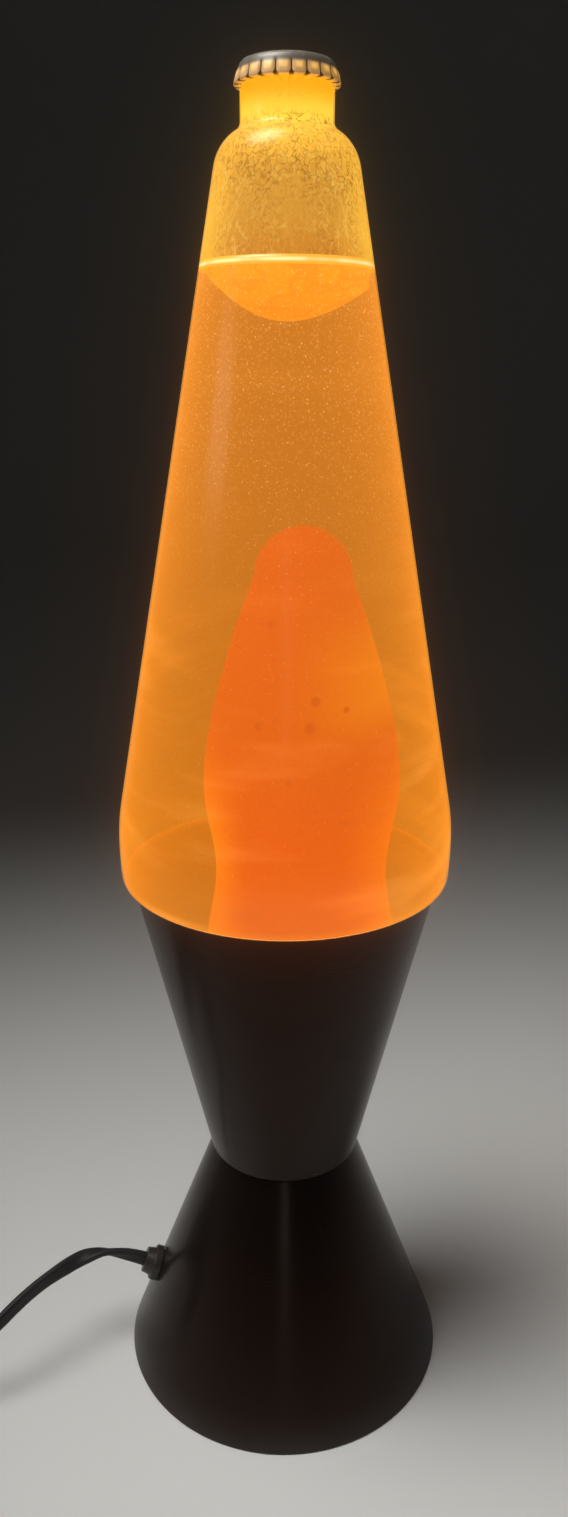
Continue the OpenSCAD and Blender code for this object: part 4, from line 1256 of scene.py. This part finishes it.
@dataclass
class CordSet:
    """The flat twin cord with its coil, tie, switch and plug."""

    frame: dict[str, Any]
    body: str = "base"
    width: float = 5.6 * MM
    thick: float = 2.8 * MM
    length: float = 1.8
    coil_at: tuple[float, float] = (-235.0, 0.0)
    coil_out_r: float = 39.0
    coil_step: float = 3.4
    coil_low: float = 4.0
    coil_layer: float = 6.2
    coil_turns: float = 3.5
    climb_turns: float = 0.5
    turn_rings: int = 36
    relief_at: Point = (-46.85, 0.0, 28.0)
    relief_tilt: float = 20.47
    relief_out: float = 5.8
    twist_from: float = 14.8 * MM
    twist_l: float = 40 * MM

    def __post_init__(self) -> None:
        """Counts the turns of both layers and of the climb between them."""
        self.whole_turns = 2 * self.coil_turns + self.climb_turns

    def relief_point(self, out: float) -> Point:
        """A point on the strain relief's axis, in millimetres."""
        a = math.radians(self.relief_tilt)
        return (self.relief_at[0] - out * math.cos(a), 0.0, self.relief_at[2] + out * math.sin(a))

    def route(self) -> list[Point]:
        """Lists the run from the strain relief to the switch by given points.

        Returns:
            The points, in millimetres.
        """
        run = [(-61, 0, 32.5), (-68, -1, 34), (-75, -4, 34), (-82, -9, 33), (-89, -15, 31.5),
               (-95, -21, 29.5), (-101, -27, 26.5), (-108, -32, 22.5), (-116, -36, 17.5),
               (-125, -38, 12.5), (-134, -39, 9.5)]
        start = [self.relief_point(out) for out in (-9.0, -3.0, 3.0, 8.0)]
        return start + run + [(-138.4, -39, 8.7), (-144, -39, 8.7)]

    def coil_point(self, n: float) -> Point:
        """Finds a point on the put-away coil, which winds inwards, climbs a layer and winds outwards.

        Args:
            n: How many turns along the coil the point lies.

        Returns:
            The point, in millimetres.
        """
        inwards = min(n, self.coil_turns, self.whole_turns - n)
        t = min(1.0, max(0.0, (n - self.coil_turns) / self.climb_turns))
        r = self.coil_out_r - self.coil_step * inwards
        a = math.radians(-90 - 360 * n)
        z = self.coil_low + self.coil_layer * t * t * (3 - 2 * t)
        return (self.coil_at[0] + r * math.cos(a), self.coil_at[1] + r * math.sin(a), z)

    def line(self) -> list[Vector]:
        """Joins the whole cord's centreline from the strain relief to the plug.

        Returns:
            Its points, in metres.
        """
        through = [(-170, -39, 8.7), (-196, -39, 8.7), (-201.6, -39, 8.7), (-212, -39, 6.5), (-224, -39, 4.4)]
        rings = int(self.whole_turns * self.turn_rings) + 1
        coil = [self.coil_point(i / self.turn_rings) for i in range(rings)]
        tail = [(-224, 39, 9.8), (-214, 39, 8.1), (-207.6, 39, 7.5), (-202, 39, 7.5)]
        return [Vector(p) * MM for p in [*smooth(self.route(), 4), *through, *coil, *tail]]

    def build(self) -> None:
        nodes = self.frame["nodes"]
        line = self.line()
        far = 0.0
        rings = [self.section(line, 0, far)]
        for i in range(1, len(line)):
            far += (line[i] - line[i - 1]).length
            rings.append(self.section(line, i, far))
        cord = mesh_object("flat_cord", tube_mesh(rings))
        jacket = Moulding("cord_jacket", (0.003, 0.002, 0.0014), 0.5, 900.0, shine=0.2).make()
        mount(cord, jacket, self.body, "cord_black", "cord_run", "cord_coil")
        case = Moulding("switch_case", (0.015, 0.0145, 0.014), 0.45).make()
        steel = Metal("switch_steel", (0.6, 0.6, 0.6), 0.35).make()
        brass = Metal("blade_brass", (0.75, 0.62, 0.36), 0.3).make()
        finishes = {
            "switch_axle": steel, "switch_screws": steel, "switch_contacts": brass, "plug_blades": brass,
            "switch_wheel": Moulding("wheel_black", (0.03, 0.029, 0.028), 0.3).make(),
        }
        dress_all(nodes, finishes)
        pieces = [nodes[name] for name in finishes]
        rubber = Moulding("tie_rubber", (0.02, 0.02, 0.02), 0.6).make()
        pieces.append(self.soften("switch_cover", "switch_top", "case_black", case, 1.2 * MM, (1,)))
        pieces.append(self.soften("switch_tray", "switch_bottom", "case_black", case, 0.8 * MM, (0,)))
        pieces.append(self.soften("plug_body", "plug_grip", "case_black", case, 1.4 * MM, (0, 1)))
        pieces.append(self.soften("cord_tie", "tie_band", "tie_black", rubber, 0.35 * MM, (0, 1)))

    def soften(self, node: str, name: str, slot: str, finish: bpy.types.Material, radius: float,
               ends: Sequence[int]) -> bpy.types.Object:
        """Makes a moulded piece from a plain solid by rounding its outer edges.

        Args:
            node: The solid that the piece stands for.
            name: The piece's name.
            slot: The record's material slot.
            finish: Its material.
            radius: Radius of the rounding.
            ends: Which of the solid's lower (0) and upper (1) faces are rounded.

        Returns:
            The piece.
        """
        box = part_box(node)
        levels = [box[end][2] for end in ends]
        height = box[1][2] - box[0][2]
        mesh = bmesh.new()
        mesh.from_mesh(self.frame["nodes"][node].data)
        bmesh.ops.remove_doubles(mesh, verts=mesh.verts, dist=0.001 * MM)
        bmesh.ops.dissolve_limit(mesh, angle_limit=math.radians(1), verts=mesh.verts, edges=mesh.edges)
        edges = []
        for edge in mesh.edges:
            span = edge.verts[1].co - edge.verts[0].co
            middle = (edge.verts[1].co + edge.verts[0].co) / 2
            flat = abs(span.z) < 0.01 * MM and span.length > 0.6 * MM
            outer = flat and any(abs(middle.z - level) < 0.02 * MM for level in levels)
            if edge.is_manifold and edge.calc_face_angle_signed(0.0) > math.radians(20):
                if outer or abs(span.z) > 0.95 * height:
                    edges.append(edge)
        bmesh.ops.bevel(mesh, geom=edges, offset=radius, offset_type="OFFSET", segments=4, profile=0.5,
                        affect="EDGES", clamp_overlap=False)
        log.info("rounded %d edges of %s", len(edges), name)
        return mount(mesh_object(name, mesh, smooth=False), finish, self.body, slot, node)

    def section(self, line: list[Vector], i: int, far: float) -> list[Vector]:
        """One ring of the flat twin cord: two round lobes with a groove between.

        Args:
            line: The cord's centreline.
            i: The ring's place in the line.
            far: Its distance along the cord, which sets how far the cord has turned over.

        Returns:
            The ring's points.
        """
        along = (line[min(i + 1, len(line) - 1)] - line[max(i - 1, 0)]).normalized()
        level = Vector((0, 0, 1)).cross(along).normalized()
        upright = along.cross(level)
        turn = math.pi * soft(min(1.0, max(0.0, (far - self.twist_from) / self.twist_l)))
        over = upright * math.cos(turn) + level * math.sin(turn)
        across = level * math.cos(turn) - upright * math.sin(turn)
        ring = []
        lobe = self.thick / 2
        points = 20
        for k in range(points):
            a = 2 * math.pi * k / points
            z = (self.width / 2) * math.sin(a)
            waist = 1 - 0.22 * math.exp(-((z / (0.22 * self.width)) ** 2) * 2.2)
            x = lobe * math.copysign(abs(math.cos(a)) ** 0.55, math.cos(a)) * waist
            ring.append(line[i] + across * x + over * z)
        return ring


def smooth(route: Sequence[Point], steps: int) -> list[Vector]:
    """A smooth line through route points.

    Args:
        route: The points.
        steps: Places between each pair.

    Returns:
        The line's points.
    """
    points = [Vector(p) for p in route]
    line = []
    for i in range(len(points) - 1):
        a, b = points[max(i - 1, 0)], points[i]
        c, d = points[i + 1], points[min(i + 2, len(points) - 1)]
        for s in range(steps):
            t = s / steps
            bend = (2 * a - 5 * b + 4 * c - d) * t * t + (3 * b - a - 3 * c + d) * t * t * t
            line.append(0.5 * (2 * b + (c - a) * t + bend))
    line.append(points[-1])
    return line


@dataclass(frozen=True)
class SoftLight:
    """A soft rectangular light, with its place and size in metres and its power in watts."""

    name: str
    at: Point
    size: tuple[float, float]
    power: float
    aim: Point = (0.0, 0.0, 0.1)
    spread: float = 180.0
    colour: Colour = (1.0, 1.0, 1.0)

    def make(self) -> bpy.types.Object:
        """Adds the light to the scene.

        Returns:
            The light.
        """
        data = bpy.data.lights.new(self.name, "AREA")
        data.shape = "RECTANGLE"
        data.size, data.size_y = self.size
        data.energy = self.power
        data.spread = math.radians(self.spread)
        data.color = self.colour
        made = bpy.data.objects.new(self.name, data)
        made.location = self.at
        made.rotation_euler = (Vector(self.aim) - Vector(self.at)).to_track_quat("-Z", "Y").to_euler()
        bpy.context.scene.collection.objects.link(made)
        return made


ROOM_LIGHTS = (
    SoftLight("key_soft", (-0.28, -0.24, 0.95), (0.8, 0.8), 1.75, (0.09, -0.18, 0.0), 48.0),
    SoftLight("window_soft", (-0.94, -0.31, 0.6), (0.38, 0.2), 0.42, (0.0, 0.0, 0.33)),
    SoftLight("tall_strip", (0.02, -1.1, 0.4), (0.06, 0.3), 0.045),
)
PAINT_LIGHT = SoftLight("front_strip", (0.02, -1.1, 0.1), (0.1, 0.16), 0.24, colour=(0.55, 0.85, 1.0))


@dataclass
class Studio:
    """The pale floor, the soft lights and the camera."""

    camera_at: Point = (-0.0007, -0.34585, 0.34456)
    tilt: float = 71.52
    roll: float = -0.14
    focal_px: float = 1134.3
    frame_px: float = 1517.0
    sensor: float = 36.0
    floor_flat: float = 2.2
    floor_bend: float = 1.0
    floor_high: float = 4.0
    floor_drop: float = 0.1 * MM
    floor_sides: int = 96
    floor_colour: Colour = (0.6, 0.595, 0.57)
    floor_cloud: Colour = (0.63, 0.625, 0.6)
    halo: float = 0.25
    room_colour: Colour = (1.0, 0.97, 0.93)
    room_strength: float = 0.03
    clip_start: float = 0.01
    room_lights: list[bpy.types.Object] = field(default_factory=list)
    paint_light: bpy.types.Object | None = None

    def make_floor(self) -> None:
        """Builds one pale sweep: a round floor that curves up far from the lamp."""
        outline = [(self.floor_flat / 2, 0.0)]
        outline += arc((self.floor_flat, self.floor_bend), self.floor_bend, 270, 360, 18)
        outline.append((self.floor_flat + self.floor_bend, self.floor_high))
        lowered = [(r, z - self.floor_drop) for r, z in outline]
        mesh = tube_mesh(turned(lowered, self.floor_sides), closed_ends=False)
        mesh.verts.ensure_lookup_table()
        mesh.faces.new(mesh.verts[:self.floor_sides])
        floor = mesh_object("studio_floor", mesh)
        shade = Shade("pale_floor")
        clouds = shade.noise(3.0, 3.0)
        dress(floor, shade.done(shade.body(
            colour=shade.blend(self.floor_colour, self.floor_cloud, clouds), roughness=0.6, shine=0.2)))

    def add_halo(self) -> None:
        """Adds the faint halo that a lens makes around a bright bottle."""
        scene = bpy.context.scene
        scene.use_nodes = True
        tree = scene.node_tree
        tree.nodes.clear()
        seen = tree.nodes.new("CompositorNodeRLayers")
        halo = tree.nodes.new("CompositorNodeGlare")
        halo.glare_type = "FOG_GLOW"
        for name, value in {"Threshold": 0.3, "Smoothness": 0.4, "Strength": self.halo, "Size": 0.7}.items():
            halo.inputs[name].default_value = value
        shown = tree.nodes.new("CompositorNodeComposite")
        tree.links.new(seen.outputs["Image"], halo.inputs["Image"])
        tree.links.new(halo.outputs["Image"], shown.inputs["Image"])

    def aim_at(self, light: bpy.types.Object, reach: Reach, pieces: Sequence[bpy.types.Object]) -> None:
        """Limits what a light falls on.

        Args:
            light: The light.
            reach: Whether it lights the pieces alone, or all but them.
            pieces: The pieces.
        """
        linked = bpy.data.collections.new(light.name)
        for piece in pieces:
            linked.objects.link(piece)
        for member in linked.collection_objects:
            member.light_linking.link_state = reach.value
        light.light_linking.receiver_collection = linked

    def build(self) -> None:
        """Builds the stage, the lights, the camera and the halo."""
        self.make_floor()
        self.add_halo()
        self.room_lights = [light.make() for light in ROOM_LIGHTS]
        self.paint_light = PAINT_LIGHT.make()
        world = bpy.data.worlds.new("studio")
        world.use_nodes = True
        room = world.node_tree.nodes["Background"]
        room.inputs["Color"].default_value = with_alpha(self.room_colour)
        room.inputs["Strength"].default_value = self.room_strength
        scene = bpy.context.scene
        scene.world = world
        scene.view_settings.view_transform = "Standard"
        data = bpy.data.cameras.new("view")
        data.sensor_width = self.sensor
        data.lens = self.focal_px / self.frame_px * self.sensor
        data.clip_start = self.clip_start
        camera = bpy.data.objects.new("view", data)
        camera.location = self.camera_at
        camera.rotation_euler = (math.radians(self.tilt), math.radians(self.roll), 0.0)
        scene.collection.objects.link(camera)
        scene.camera = camera


def main() -> None:
    """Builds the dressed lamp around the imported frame."""
    logging.basicConfig(level=logging.INFO, format="%(name)s: %(message)s")
    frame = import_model()
    studio = Studio()
    studio.build()
    CordSet(frame).build()
    studio.aim_at(studio.paint_light, Reach.ONLY, Base(frame).build())
    heel = Bottle(frame).build()
    for light in studio.room_lights:
        studio.aim_at(light, Reach.NOT, [heel])


if __name__ == "__main__":
    main()
